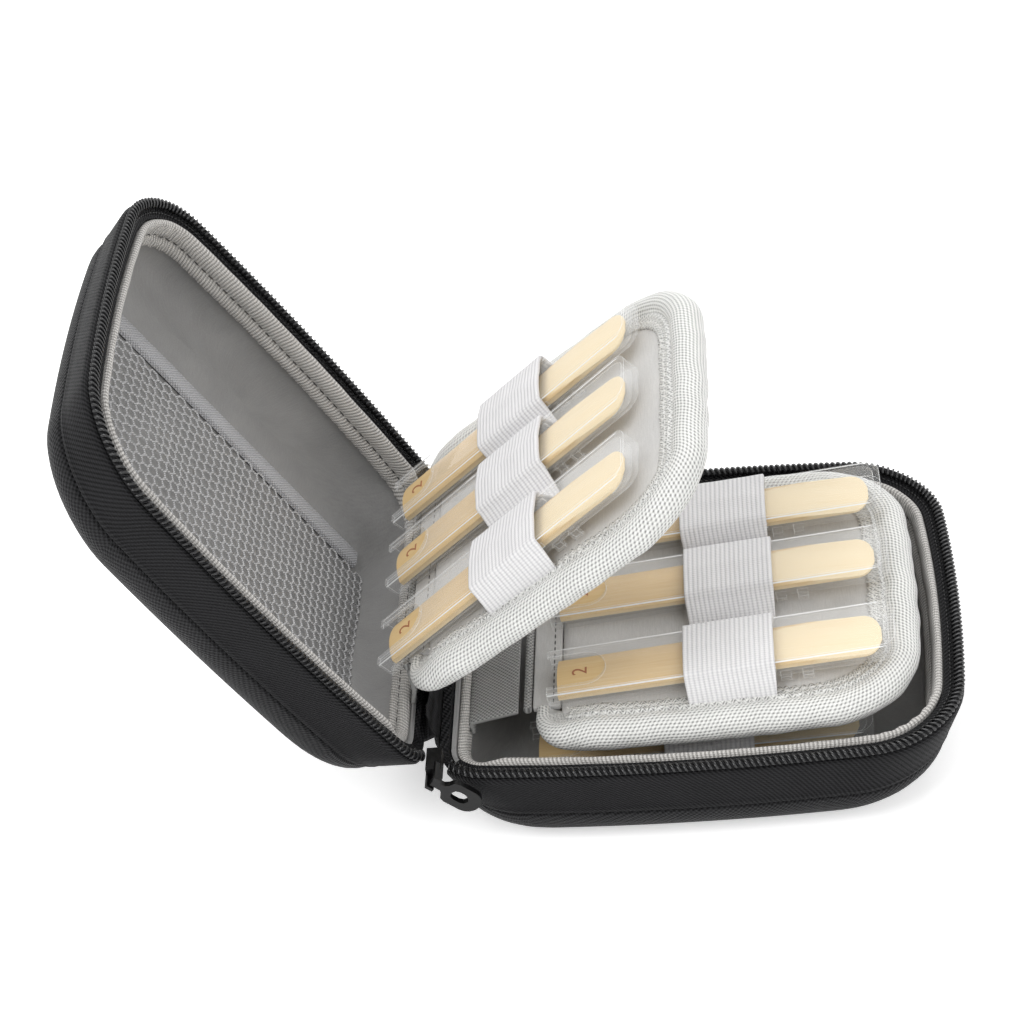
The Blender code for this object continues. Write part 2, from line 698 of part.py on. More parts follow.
def holder_mesh():
    """A clear channel with a round thumb notch in its top plate and two clip feet below one side.

    Its origin is the middle of the heel end's underside, and +X runs towards the reed's tip.
    """
    half = HOLDER_WIDTH / 2
    prong = (HOLDER_WIDTH - NOTCH_WIDTH) / 4
    tip = HOLDER_LENGTH - HOLDER_CORNER
    outline = arc(prong, -half + prong, prong, 180, 270, 2)
    outline += arc(tip, -half + HOLDER_CORNER, HOLDER_CORNER, 270, 360, 3)
    outline += [(x, -y) for x, y in reversed(outline)]
    body = outline_mesh("holder_body", outline, 0.0, HOLDER_HEIGHT)
    room = half - HOLDER_WALL
    end = HOLDER_LENGTH - HOLDER_WALL
    channel = box_mesh(
        "reed_channel", (-OVERRUN, -room, HOLDER_LEDGE), (end - HOLDER_WALL, room, HOLDER_HEIGHT - HOLDER_PLATE)
    )
    gap = room - HOLDER_LEDGE_WIDTH
    slot = box_mesh("underside_slot", (-OVERRUN, -gap, -OVERRUN), (end - HOLDER_CORNER, gap, HOLDER_HEIGHT / 2))
    radius = NOTCH_WIDTH / 2
    thumb = arc(NOTCH_LENGTH - radius, 0.0, radius, -90, 90, 6)
    thumb += [(-OVERRUN, radius), (-OVERRUN, -radius)]
    notch = outline_mesh("thumb_notch", thumb, HOLDER_HEIGHT / 2, HOLDER_HEIGHT + OVERRUN)
    slope = math.tan(math.radians(HOLDER_TILT_DEGREES))
    feet = []
    for i in range(2):
        place = FOOT_PLACE + i * FOOT_PITCH
        reach = place * slope + TOUCH - FOOT_CLEAR
        low = (place, -half + TOUCH, -reach)
        feet.append(box_mesh(f"clip_foot_{i + 1}", low, (place + FOOT_LENGTH, -half + FOOT_WIDTH, HOLDER_LEDGE)))
    return cut_mesh("holder", body, [channel, slot, notch], feet)


def reed_mesh():
    """A reed lying flat side down: level under its bark, then thinning to its rounded tip."""
    full = REED_THICKNESS
    edge = REED_THICKNESS * REED_EDGE_SHARE
    vamp = REED_LENGTH * REED_BARK_SHARE
    rounding = REED_TIP_WIDTH / 2
    stations = [(0.0, 0.0, 1.0), (vamp, 0.0, 1.0)]
    for share in (0.35, 0.7, 1.0):
        place = vamp + (REED_LENGTH - rounding / 2 - vamp) * share
        stations.append((place, share, 1.0))
    for share in (0.5, 0.85, 1.0):
        narrow = math.sqrt(1 - (share * 0.95) ** 2)
        stations.append((REED_LENGTH - rounding / 2 * (1 - share), 1.0, narrow))
    rings = []
    for place, thin, narrow in stations:
        width = REED_HEEL_WIDTH + (REED_TIP_WIDTH - REED_HEEL_WIDTH) * place / REED_LENGTH
        half = width / 2 * narrow
        top = full + (REED_TIP_THICKNESS - full) * thin
        side = edge + (REED_TIP_THICKNESS - edge) * thin
        rings.append(
            [(place, -half, 0.0), (place, half, 0.0), (place, half, side), (place, half / 2, top),
             (place, -half / 2, top), (place, -half, side)]
        )
    return loft_mesh("reed", rings, wrap_section=False, wrap_path=True)


def place_holders(prefix, parent, heel, floor, places, meshes):
    """Three holders side by side on a floor, each with its reed inside."""
    names = ("front", "middle", "back")
    for name, place in zip(names, places):
        at = (heel, place, floor + TOUCH)
        holder = new_object(f"{prefix}_holder_{name}", meshes[0], materials["clear"], parent, at, HOLDER_TILT_DEGREES)
        seat = (REED_INSET, 0.0, HOLDER_LEDGE + TOUCH)
        new_object(f"{prefix}_reed_{name}", meshes[1], materials["cane"], holder, seat)


def make_leaf(prefix, parent, heel, places, meshes):
    """A leaf's panel, padded border, hem, strap and holders, on the frame at its spine edge."""
    make_border(prefix + "_border", parent)
    make_panel(prefix + "_panel", parent)
    make_hem(prefix + "_hem", parent)
    edge = LEAF_DEPTH / 2 - BORDER_WIDTH - TOUCH
    make_strap(prefix + "_strap", parent, PANEL_TOP, heel, edge, places)
    place_holders(prefix, parent, heel, PANEL_TOP, places, meshes)


def make_leaf_hinge(prefix, parent, place, length, tab_degrees, leaf_degrees):
    """The cloth strip that joins a leaf to its shell, its seam, and the frame that the leaf turns on."""
    tab_pivot = new_frame(prefix + "_tab_pivot", parent, place, tab_degrees)
    half = TAB_DEPTH / 2
    end = length - SEAM_RADIUS - TOUCH
    strip = box_mesh(prefix + "_tab", (0.0, -half, -TAB / 2), (end, half, TAB / 2))
    new_object(prefix + "_tab", strip, materials["tab"], tab_pivot)
    rings = [[(x, y, z) for y in (-half, half)] for x, z in arc(length, 0.0, SEAM_RADIUS, 0, 315, 7)]
    bead = loft_mesh(prefix + "_seam", rings, wrap_section=True, wrap_path=False)
    new_object(prefix + "_seam", bead, materials["tab"], tab_pivot)
    return new_frame(prefix + "_pivot", tab_pivot, (length, 0.0, 0.0), leaf_degrees - tab_degrees)


def make_leaf_root(name, parent, first, last):
    """The sewn foot of a leaf's cloth strip, from the lip to just short of the line that the strip folds on."""
    across, up = last[0] - first[0], last[2] - first[2]
    reach = math.hypot(across, up) - TAB / 2 - TOUCH
    mesh = box_mesh(name, (0.0, -TAB_DEPTH / 2, -TAB / 2), (reach, TAB_DEPTH / 2, TAB / 2))
    return new_object(name, mesh, materials["tab"], parent, first, math.degrees(math.atan2(up, across)))


def make_slider(parent):
    low = (-SLIDER_LEFT, -SLIDER_FRONT, -SLIDER_BOTTOM)
    body = box_mesh("slider_body", low, (SLIDER_RIGHT, -SLIDER_BACK, SLIDER_TOP))
    inner = PULL_NECK / 2 + TOUCH
    turn = Matrix.Rotation(math.radians(PULL_DEGREES), 4, "Y")
    ears = []
    for low, high in ((inner, inner + EAR), (-inner - EAR, -inner)):
        ear = box_mesh("pull_ear", (-EAR_HEIGHT / 2, -EAR_REACH, low), (EAR_HEIGHT / 2, EAR_ROOT, high))
        ear.transform(Matrix.Translation((0.0, -SLIDER_FRONT, 0.0)) @ turn)
        ears.append(ear)
    return new_object("zip_slider", cut_mesh("zip_slider", body, [], ears), materials["slider"], parent)


def make_pull(parent):
    """A rounded tab with a hole, lying flat against the front. +X runs from its bar to its free end."""
    half = PULL_WIDTH / 2
    neck = PULL_NECK / 2
    start = PULL_NECK_LENGTH
    outline = [(-neck / 2, -neck), (start - neck, -neck)]
    outline += arc(start + half / 2, -half / 2, half / 2, 180, 270, 2)
    outline += arc(PULL_LENGTH - half, 0.0, half, -90, 0, 4)
    outline += [(x, -y) for x, y in reversed(outline[:-1])]
    body = outline_mesh("pull_body", outline, -PULL / 2, PULL / 2)
    side = PULL_HOLE_WIDTH / 2
    first, last = PULL_HOLE_PLACE - PULL_HOLE_LENGTH / 2 + side, PULL_HOLE_PLACE + PULL_HOLE_LENGTH / 2 - side
    hole = arc(last, 0.0, side, -90, 90, 4) + arc(first, 0.0, side, 90, 270, 4)
    cutter = outline_mesh("pull_hole", hole, -PULL, PULL)
    mesh = cut_mesh("zip_pull", body, [cutter])
    pull = new_object("zip_pull", mesh, materials["slider"], parent)
    pull.rotation_euler = (math.radians(90), 0.0, 0.0)
    return pull


clear_scene()
collections = {"part": new_collection("reed_case"), "cutters": new_collection("cutters")}
materials = {
    "shell": new_material("black ballistic nylon", BLACK_NYLON, 0.85),
    "tape": new_material("black zipper tape", BLACK_NYLON, 0.8),
    "coil": new_material("black nylon coil", BLACK_COIL, 0.35),
    "slider": new_material("black enamel", BLACK_COIL, 0.3),
    "lip": new_material("grey woven cloth", GREY_WEAVE, 0.9),
    "felt": new_material("grey felt", GREY_FELT, 0.95),
    "panel": new_material("light grey felt", LIGHT_FELT, 0.95),
    "tab": new_material("grey hinge cloth", GREY_WEAVE, 0.9),
    "mesh_cloth": new_material("light grey mesh cloth", LIGHT_MESH, 0.6),
    "elastic": new_material("ribbed elastic", LIGHT_ELASTIC, 0.7),
    "net": new_material("grey knitted net", GREY_WEAVE, 0.7),
    "binding": new_material("woven binding tape", LAVENDER_TAPE, 0.75),
    "clear": new_material("clear styrene", CLEAR_PLASTIC, 0.05, alpha=0.35),
    "cane": new_material("dried cane", REED_CANE, 0.55),
}

hinge = new_frame("hinge_frame", None, (-RIM_LENGTH / 2, 0.0, SHELL_HEIGHT))
lid_pivot = new_frame("lid_pivot", hinge, (0.0, 0.0, 0.0), LID_OPEN_DEGREES)

for side_name, side, frame in (("base", -1, hinge), ("lid", 1, lid_pivot)):
    make_shell(side_name + "_shell", side, frame)
    make_lining(side_name + "_lining", side, frame)
    make_lip(side_name + "_lip", side, frame)
    make_zip_tape(side_name + "_zip_tape", side, frame)
    make_zip_coil(side_name + "_zip_coil", side, frame)
make_gusset(hinge)
make_pocket(lid_pivot)

shared = (holder_mesh(), reed_mesh())
make_strap("base_strap", hinge, -FLOOR_DEPTH, BASE_HEEL_X, BASE_STRAP_EDGE, BASE_HOLDER_PLACES)
place_holders("base", hinge, BASE_HEEL_X, -FLOOR_DEPTH, BASE_HOLDER_PLACES, shared)

tab_1_place = (LEAF_1_TAB_X, 0.0, LEAF_1_TAB_Z)
make_leaf_root("leaf_1_root", lid_pivot, (LEAF_1_ROOT_X, 0.0, LEAF_1_ROOT_Z), tab_1_place)
leaf_1_turn = LEAF_1_DEGREES - LID_OPEN_DEGREES
leaf_1_hinge = (tab_1_place, LEAF_1_TAB_LENGTH, LEAF_1_TAB_DEGREES, leaf_1_turn)
leaf_1_pivot = make_leaf_hinge("leaf_1", lid_pivot, *leaf_1_hinge)
make_leaf("leaf_1", leaf_1_pivot, LEAF_1_HEEL, LEAF_HOLDER_PLACES, shared)

tab_2_place = (LEAF_2_TAB_X, 0.0, LEAF_2_TAB_Z)
leaf_2_hinge = (tab_2_place, LEAF_2_TAB_LENGTH, LEAF_2_TAB_DEGREES, LEAF_2_DEGREES)
leaf_2_pivot = make_leaf_hinge("leaf_2", hinge, *leaf_2_hinge)
make_leaf("leaf_2", leaf_2_pivot, LEAF_2_HEEL, LEAF_HOLDER_PLACES, shared)

make_slider(hinge)
pull_place = (0.0, -SLIDER_FRONT - PULL_BAR_OUT, 0.0)
pull_pivot = new_frame("pull_pivot", hinge, pull_place, -PULL_DEGREES)
make_pull(pull_pivot)
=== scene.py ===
"""The looks of a zippered reed case that stands open, with two padded leaves and nine reeds in holders.

Each sub-assembly is a class: a shell half, the lid's pocket, the spine, a leaf, a strap and a rack of holders
with their reeds. Each finish is a frozen dataclass. Lengths are in metres. Pattern maps and the tables of
cross sections are in millimetres.
"""

import json
import logging
import math
from collections.abc import Callable
from dataclasses import dataclass, replace
from enum import Enum
from functools import partial
from typing import ClassVar

import bmesh
import bpy
import numpy as np
from mathutils import Matrix, Vector, noise

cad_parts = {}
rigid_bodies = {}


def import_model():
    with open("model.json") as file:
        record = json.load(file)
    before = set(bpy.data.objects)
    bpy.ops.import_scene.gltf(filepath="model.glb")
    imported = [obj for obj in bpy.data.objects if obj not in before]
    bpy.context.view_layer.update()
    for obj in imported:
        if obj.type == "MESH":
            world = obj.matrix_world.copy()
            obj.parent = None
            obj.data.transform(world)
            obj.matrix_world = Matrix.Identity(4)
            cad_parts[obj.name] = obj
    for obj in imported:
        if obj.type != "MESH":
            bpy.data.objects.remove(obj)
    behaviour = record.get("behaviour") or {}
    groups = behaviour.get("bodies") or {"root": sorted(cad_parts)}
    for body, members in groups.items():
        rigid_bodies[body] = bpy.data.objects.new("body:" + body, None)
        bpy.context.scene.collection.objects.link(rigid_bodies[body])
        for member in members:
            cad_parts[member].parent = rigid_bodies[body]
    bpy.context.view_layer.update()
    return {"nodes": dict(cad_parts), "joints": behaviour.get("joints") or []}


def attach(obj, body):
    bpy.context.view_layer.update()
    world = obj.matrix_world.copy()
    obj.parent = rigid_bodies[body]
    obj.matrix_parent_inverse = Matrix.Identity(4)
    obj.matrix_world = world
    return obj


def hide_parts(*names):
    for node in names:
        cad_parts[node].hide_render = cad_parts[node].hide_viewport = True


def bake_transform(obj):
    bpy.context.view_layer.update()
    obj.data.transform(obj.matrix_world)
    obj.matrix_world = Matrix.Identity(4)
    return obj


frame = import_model()

MM = 0.001
LOG = logging.getLogger("reed_case")

# The gap that the solids leave where two pieces touch.
TOUCH = 0.3 * MM
# How far a holder tilts up from its floor, because its feet stand near its tip, in degrees.
TILT = 3.2
# Half of one stitch's size: out from the seam, up from the cloth and along the seam.
ZIPPER_STITCH = (0.16 * MM, 0.14 * MM, 0.42 * MM)
LIP_STITCH = (0.22 * MM, 0.2 * MM, 0.75 * MM)
BORDER_STITCH = (0.16 * MM, 0.14 * MM, 0.5 * MM)

Point = tuple[float, float, float]
Section = list[tuple[float, float]]
Adder = Callable[..., bpy.types.Node]


class Weave(Enum):
    """How a cloth's threads cross, which sets the pattern of its bumps."""

    PLAIN = "plain"
    TWILL = "twill"
    RIB = "rib"
    SPOT = "spot"
    CREPE = "crepe"


# Node helpers


def srgb(code: str) -> tuple[float, float, float, float]:
    """Turns an sRGB hex colour to linear.

    Args:
        code: The colour as "#rrggbb".

    Returns:
        The linear red, green and blue, and a full alpha.
    """
    parts = [int(code[i : i + 2], 16) / 255 for i in (1, 3, 5)]
    linear = [p / 12.92 if p <= 0.04045 else ((p + 0.055) / 1.055) ** 2.4 for p in parts]
    return (*linear, 1.0)


def plug(node: bpy.types.Node, *inputs: object, **named: object) -> bpy.types.Node:
    """Gives a node its settings and its inputs.

    Args:
        node: The node.
        inputs: Its inputs in use, in order. A socket or a node's first output is linked, a value is set.
        named: Attributes of the node in small letters, and inputs by name, with _ for a space.

    Returns:
        The same node.
    """
    for name, value in named.items():
        if name[0].islower():
            setattr(node, name, value)
    pairs = list(zip([socket for socket in node.inputs if socket.enabled], inputs))
    pairs += [(node.inputs[name.replace("_", " ")], v) for name, v in named.items() if name[0].isupper()]
    for socket, value in pairs:
        if isinstance(value, bpy.types.Node):
            value = next(output for output in value.outputs if output.enabled)
        if isinstance(value, bpy.types.NodeSocket):
            node.id_data.links.new(value, socket)
        else:
            socket.default_value = value
    return node


def add(tree: bpy.types.NodeTree, kind: str, *inputs: object, **named: object) -> bpy.types.Node:
    """Adds a node with its settings and its inputs.

    Args:
        tree: The node tree that gets it.
        kind: Its type name without "ShaderNode", with a Math node's operation after a point.
        inputs: What plug takes in order.
        named: What plug takes by name.

    Returns:
        The new node.
    """
    kind, _, operation = kind.partition(".")
    node = tree.nodes.new("ShaderNode" + kind)
    if operation:
        node.operation = operation
    return plug(node, *inputs, **named)


def new_material(name: str) -> tuple[bpy.types.Material, Adder, bpy.types.Node]:
    """Starts a material.

    Args:
        name: The material's name.

    Returns:
        The material, the function that adds a node to it, and its Principled shader.
    """
    material = bpy.data.materials.new(name)
    material.use_nodes = True
    return material, partial(add, material.node_tree), material.node_tree.nodes["Principled BSDF"]


# Finishes


@dataclass(frozen=True)
class Cloth:
    """A cloth whose threads show. The map's first number runs along the piece, the second across it."""

    name: str
    weave: Weave
    pitch_along: float
    pitch_across: float
    dark: str
    light: str
    roughness: float = 0.85
    sheen: float = 0.2
    depth: float = 0.25
    blotch: float = 0.08
    specular: float = 0.5
    fuzz_scale: float = 3.1
    fuzz_share: float = 0.5
    blotch_size: float = 9.0

    def build(self) -> bpy.types.Material:
        """Makes the material, with its pattern read from the piece's map in millimetres."""
        material, node, shader = new_material(self.name)
        place = node("UVMap")
        fuzz = node("TexNoise", noise_dimensions="2D", Vector=place, Scale=self.fuzz_scale, Detail=3.0)
        patch = node("TexNoise", noise_dimensions="2D", Vector=place, Scale=1 / self.blotch_size)
        uneven = node("Math.MULTIPLY", node("Math.SUBTRACT", fuzz, 0.5), self.fuzz_share)
        shift = node("Math.MULTIPLY", node("Math.SUBTRACT", patch, 0.5), 2 * self.blotch)
        share = node("Math.ADD", node("Math.ADD", self.pattern(node, place), uneven), shift)
        share = node("Clamp", share)
        # The colour is lighter where the weave's threads stand high; on the black cloths these lighter tops
        # are a painted highlight.
        plug(
            shader,
            Base_Color=node("Mix", share, srgb(self.dark), srgb(self.light), data_type="RGBA"),
            Normal=node("Bump", Strength=0.9, Distance=self.depth * MM, Height=share),
            Roughness=self.roughness,
            Specular_IOR_Level=self.specular,
            Sheen_Weight=self.sheen,
            Sheen_Roughness=0.5,
        )
        return material

    def pattern(self, node: Adder, place: bpy.types.Node) -> bpy.types.Node:
        """Adds the weave's height.

        Args:
            node: The function that adds a node to this material.
            place: The piece's map.

        Returns:
            The node with a height from 0 to 1.
        """
        split = node("SeparateXYZ", place)
        along = node("Math.MULTIPLY", split.outputs[0], math.tau / self.pitch_along)
        across = node("Math.MULTIPLY", split.outputs[1], math.tau / self.pitch_across)
        if self.weave is Weave.TWILL:
            ridge_share, thread_share = 0.38, 0.12
            ridge = node("Math.SINE", node("Math.ADD", along, across))
            thread = node("Math.SINE", node("Math.MULTIPLY", across, 2.0))
            fine = node("Math.MULTIPLY_ADD", thread, thread_share, 0.5)
            return node("Math.MULTIPLY_ADD", ridge, ridge_share, fine)
        if self.weave is Weave.RIB:
            thread_share = 0.16
            ridge = node("Math.ABSOLUTE", node("Math.SINE", node("Math.MULTIPLY", across, 0.5)))
            ridge = node("Math.MULTIPLY", ridge, 1 - thread_share)
            return node("Math.MULTIPLY_ADD", node("Math.SINE", along), thread_share, ridge)
        if self.weave is Weave.CREPE:
            thread_share, warp_scale, warp_turn = 0.14, 0.5, 1.1
            warp = node("TexNoise", noise_dimensions="2D", Vector=place, Scale=warp_scale)
            bent = node("Math.MULTIPLY_ADD", node("Math.SUBTRACT", warp, 0.5), warp_turn, along)
            ridge = node("Math.ABSOLUTE", node("Math.SINE", node("Math.MULTIPLY", bent, 0.5)))
            ridge = node("Math.MULTIPLY", ridge, 1 - thread_share)
            return node("Math.MULTIPLY_ADD", node("Math.SINE", across), thread_share, ridge)
        if self.weave is Weave.SPOT:
            bars = node("Math.COSINE", node("Math.MULTIPLY_ADD", across, 0.5, along))
            bars = node("Math.MULTIPLY", bars, 0.25)
            holes = node("Math.MULTIPLY", node("Math.COSINE", across), 0.25)
            open_share = node("Math.ADD", node("Math.ADD", bars, holes), 0.5)
            return node("Math.SUBTRACT", 1.0, node("Math.POWER", open_share, 2.0))
        checker = node("Math.MULTIPLY", node("Math.SINE", along), node("Math.SINE", across))
        return node("Math.MULTIPLY_ADD", checker, 0.5, 0.5)


@dataclass(frozen=True)
class Felt:
    """A pressed felt: no threads, a soft nap and slow light and dark patches."""

    name: str
    dark: str
    light: str
    nap: float = 0.35
    nap_share: float = 0.45
    fibre_stretch: Point = (3.4, 0.35, 1.0)
    fibre_share: float = 0.3
    patch_scale: float = 0.07
    patch_share: float = 0.35

    def build(self) -> bpy.types.Material:
        """Makes the material, with its nap read from the piece's map in millimetres."""
        material, node, shader = new_material(self.name)
        place = node("UVMap")
        flat = partial(node, "TexNoise", noise_dimensions="2D")
        nap = flat(Vector=place, Scale=1 / self.nap, Detail=4.0, Roughness=0.7)
        stretched = node("Mapping", Vector=place, Scale=self.fibre_stretch)
        fibre = node("Math.MULTIPLY", flat(Vector=stretched, Scale=0.9, Detail=3.0), self.fibre_share)
        share = node("Math.MULTIPLY_ADD", nap, self.nap_share, fibre)
        patch = flat(Vector=place, Scale=self.patch_scale, Detail=2.0)
        share = node("Math.MULTIPLY_ADD", patch, self.patch_share, share)
        plug(
            shader,
            Base_Color=node("Mix", share, srgb(self.dark), srgb(self.light), data_type="RGBA"),
            Normal=node("Bump", Strength=0.55, Distance=0.15 * MM, Height=share),
            Roughness=0.95,
            Sheen_Weight=0.35,
            Sheen_Roughness=0.6,
        )
        return material


@dataclass(frozen=True)
class Moulded:
    """An opaque moulded or coated surface, such as nylon wire or enamel on cast zinc."""

    name: str
    colour: str
    worn: str
    roughness: float
    grain: float = 0.6
    ior: float = 1.53
    specular: float = 0.5
    roughness_spread: float = 0.25

    def build(self) -> bpy.types.Material:
        """Makes the material, with faint scuffs from its object coordinates."""
        material, node, shader = new_material(self.name)
        place = node("TexCoord").outputs["Object"]
        scuff = node("TexNoise", Vector=place, Scale=1 / (self.grain * MM), Detail=4.0, Roughness=0.65)
        plug(
            shader,
            Base_Color=node("Mix", scuff, srgb(self.colour), srgb(self.worn), data_type="RGBA"),
            Roughness=node("Math.MULTIPLY_ADD", scuff, self.roughness_spread, self.roughness - 0.1),
            Normal=node("Bump", Strength=0.12, Distance=0.05 * MM, Height=scuff),
            IOR=self.ior,
            Specular_IOR_Level=self.specular,
        )
        return material


@dataclass(frozen=True)
class ClearMoulded:
    """Clear styrene, injection moulded: glossy, nearly invisible face on, with painted highlights: white
    opacity that grows where the walls are seen edge on and on the rounded edges.
    """

    name: str
    tint: str
    face_on: float = 0.055
    edge_on: float = 0.92
    sharpness: float = 3.0
    edge_light: float = 0.9
    roughness: float = 0.05
    scratch_scale: float = 420.0
    ior: float = 1.5

    def build(self) -> bpy.types.Material:
        """Makes the material, with scratches from its object coordinates and painted edge highlights from an
        attribute.
        """
        material, node, shader = new_material(self.name)
        place = node("TexCoord").outputs["Object"]
        scratch = node("TexNoise", Vector=place, Scale=self.scratch_scale, Detail=2.0)
        # Painted reflection and highlight: the white tint turns opaque towards grazing angles and on the
        # marked rounded edges.
        slant = node("LayerWeight", Blend=0.35).outputs["Facing"]
        spread = node("Math.MULTIPLY", node("Math.POWER", slant, self.sharpness), self.edge_on - self.face_on)
        edge = node("Attribute", attribute_name="moulded_edge").outputs["Fac"]
        share = node("Math.MULTIPLY_ADD", edge, self.edge_light, node("Math.ADD", spread, self.face_on))
        plug(
            shader,
            Base_Color=srgb(self.tint),
            Roughness=node("Math.MULTIPLY_ADD", scratch, 0.06, self.roughness),
            IOR=self.ior,
            Alpha=node("Clamp", share),
        )
        return material


@dataclass(frozen=True)
class Cane:
    """Dried giant cane: long straight fibres, a smooth golden bark and a paler cut face."""

    name: str
    bark: str
    bark_dark: str
    cut: str
    cut_dark: str
    stretch: Point = (0.06, 2.6, 1.0)
    fibre_share: float = 0.8
    fleck_share: float = 0.3

    def build(self) -> bpy.types.Material:
        """Makes the material, whose map runs along and across the reed, with the cut face in an attribute."""
        material, node, shader = new_material(self.name)
        grain = partial(node, "TexNoise", noise_dimensions="2D")
        stretched = node("Mapping", Vector=node("UVMap"), Scale=self.stretch)
        fibre = node("Math.MULTIPLY", grain(Vector=stretched, Scale=1.0, Detail=6.0), self.fibre_share)
        fleck = grain(Vector=stretched, Scale=4.0, Detail=2.0)
        share = node("Math.MULTIPLY_ADD", fleck, self.fleck_share, fibre)
        bark = node("Mix", share, srgb(self.bark_dark), srgb(self.bark), data_type="RGBA")
        cut = node("Mix", share, srgb(self.cut_dark), srgb(self.cut), data_type="RGBA")
        face = node("Attribute", attribute_name="cut_face").outputs["Fac"]
        plug(
            shader,
            Base_Color=node("Mix", face, bark, cut, data_type="RGBA"),
            Normal=node("Bump", Strength=0.3, Distance=0.05 * MM, Height=share),
            Roughness=0.5,
        )
        return material


class Finishes:
    """Every finish of the case, each made once."""

    def __init__(self) -> None:
        """Makes the materials."""
        black = {"sheen": 0.0, "specular": 0.12}
        # Ballistic nylon: coarse yarn in a plain weave; each crossing is a small bright tick on black, a
        # painted highlight.
        self.shell = Cloth(
            "ballistic_nylon", Weave.PLAIN, 1.15, 1.15, "#010101", "#313133", 0.52, depth=0.35, **black
        ).build()
        # Twill zipper tape: fine diagonal ribs, duller than the yarn of the wall; their lighter tops are a
        # painted highlight.
        self.tape = Cloth(
            "zipper_twill", Weave.TWILL, 1.1, 1.1, "#020202", "#2b2b2d", 0.58, depth=0.3, **black
        ).build()
        # Nylon monofilament coil: smooth black wire that catches small highlights.
        self.coil = Moulded("nylon_monofilament", "#080809", "#1e1e20", 0.26).build()
        # Enamel over cast zinc, gloss black with slightly worn edges.
        self.enamel = Moulded("black_enamel", "#020202", "#121213", 0.34, 1.4, 1.5, 0.3).build()
        # Crepe ribbed cloth: soft ribs across the lip, warm light grey.
        crepe = {"roughness": 0.9, "depth": 0.35, "blotch": 0.1}
        self.lip = Cloth("crepe_rib_cloth", Weave.CREPE, 0.82, 0.45, "#93908c", "#e2dfdb", **crepe).build()
        # Pressed polyester felt, mid grey on the moulded foam and light grey on the leaves.
        self.felt = Felt("grey_felt", "#696969", "#a9a8a7").build()
        self.panel = Felt("light_grey_felt", "#a3a2a0", "#e4e3e1").build()
        # Spacer mesh cloth: glossy pale yarn with a small dark hole between the cells.
        spacer = {"roughness": 0.4, "sheen": 0.1, "depth": 0.2, "blotch": 0.06}
        self.mesh_cloth = Cloth(
            "spacer_mesh_cloth", Weave.SPOT, 0.92, 0.78, "#848482", "#f0f0ed", **spacer
        ).build()
        # Woven elastic: rubber ribs along its length, bound by fine cross threads.
        elastic = {"roughness": 0.75, "depth": 0.14, "blotch": 0.06}
        self.elastic = Cloth("ribbed_elastic", Weave.RIB, 0.55, 1.0, "#d3d2d4", "#f3f2f2", **elastic).build()
        # Grosgrain: a fine ribbed tape, cool light grey, folded over the net's edge.
        self.binding = Cloth(
            "grosgrain_tape", Weave.PLAIN, 0.8, 0.8, "#919194", "#cfcfd2", roughness=0.8, blotch=0.05
        ).build()
        # Plain grey cloth whose threads show, as on the strips that the leaves hang by.
        self.hinge = Cloth("plain_hinge_cloth", Weave.PLAIN, 0.95, 0.95, "#5c5c5b", "#c6c6c4").build()
        # Knitted polyester net: smooth pale yarn round open cells.
        knitted = {"roughness": 0.55, "sheen": 0.1, "depth": 0.1, "blotch": 0.05}
        self.net = Cloth("knitted_net", Weave.TWILL, 0.6, 0.6, "#8f8f90", "#d9d9da", **knitted).build()
        # Black ribbed gusset cloth, dull, its ribs along the spine; their lighter tops are a painted
        # highlight.
        dull = {"roughness": 0.75, "sheen": 0.0, "specular": 0.2}
        self.gusset = Cloth("ribbed_gusset_cloth", Weave.RIB, 0.7, 1.0, "#020202", "#2a2a2c", **dull).build()
        # Spun polyester thread, one pale and one dark grey.
        self.light_thread = Moulded("grey_thread", "#d6d5d2", "#f2f1ee", 0.6).build()
        self.dark_thread = Moulded("dark_grey_thread", "#3a3938", "#5a5957", 0.7).build()
        # Clear styrene: colourless, with painted white highlights where the walls are seen edge on and on the
        # rounded edges.
        self.clear = ClearMoulded("clear_styrene", "#f6f7f7").build()
        # Dried cane: a golden, slightly glossy bark and a paler cut face with straight fibres.
        self.cane = Cane("dried_cane", "#edd3a0", "#d8b278", "#faebcb", "#ecd4a4").build()
        # Ink pressed into the bark: thin, brownish and uneven.
        self.ink = Moulded("heel_ink", "#9c5a3c", "#b57b58", 0.6).build()


# Mesh helpers


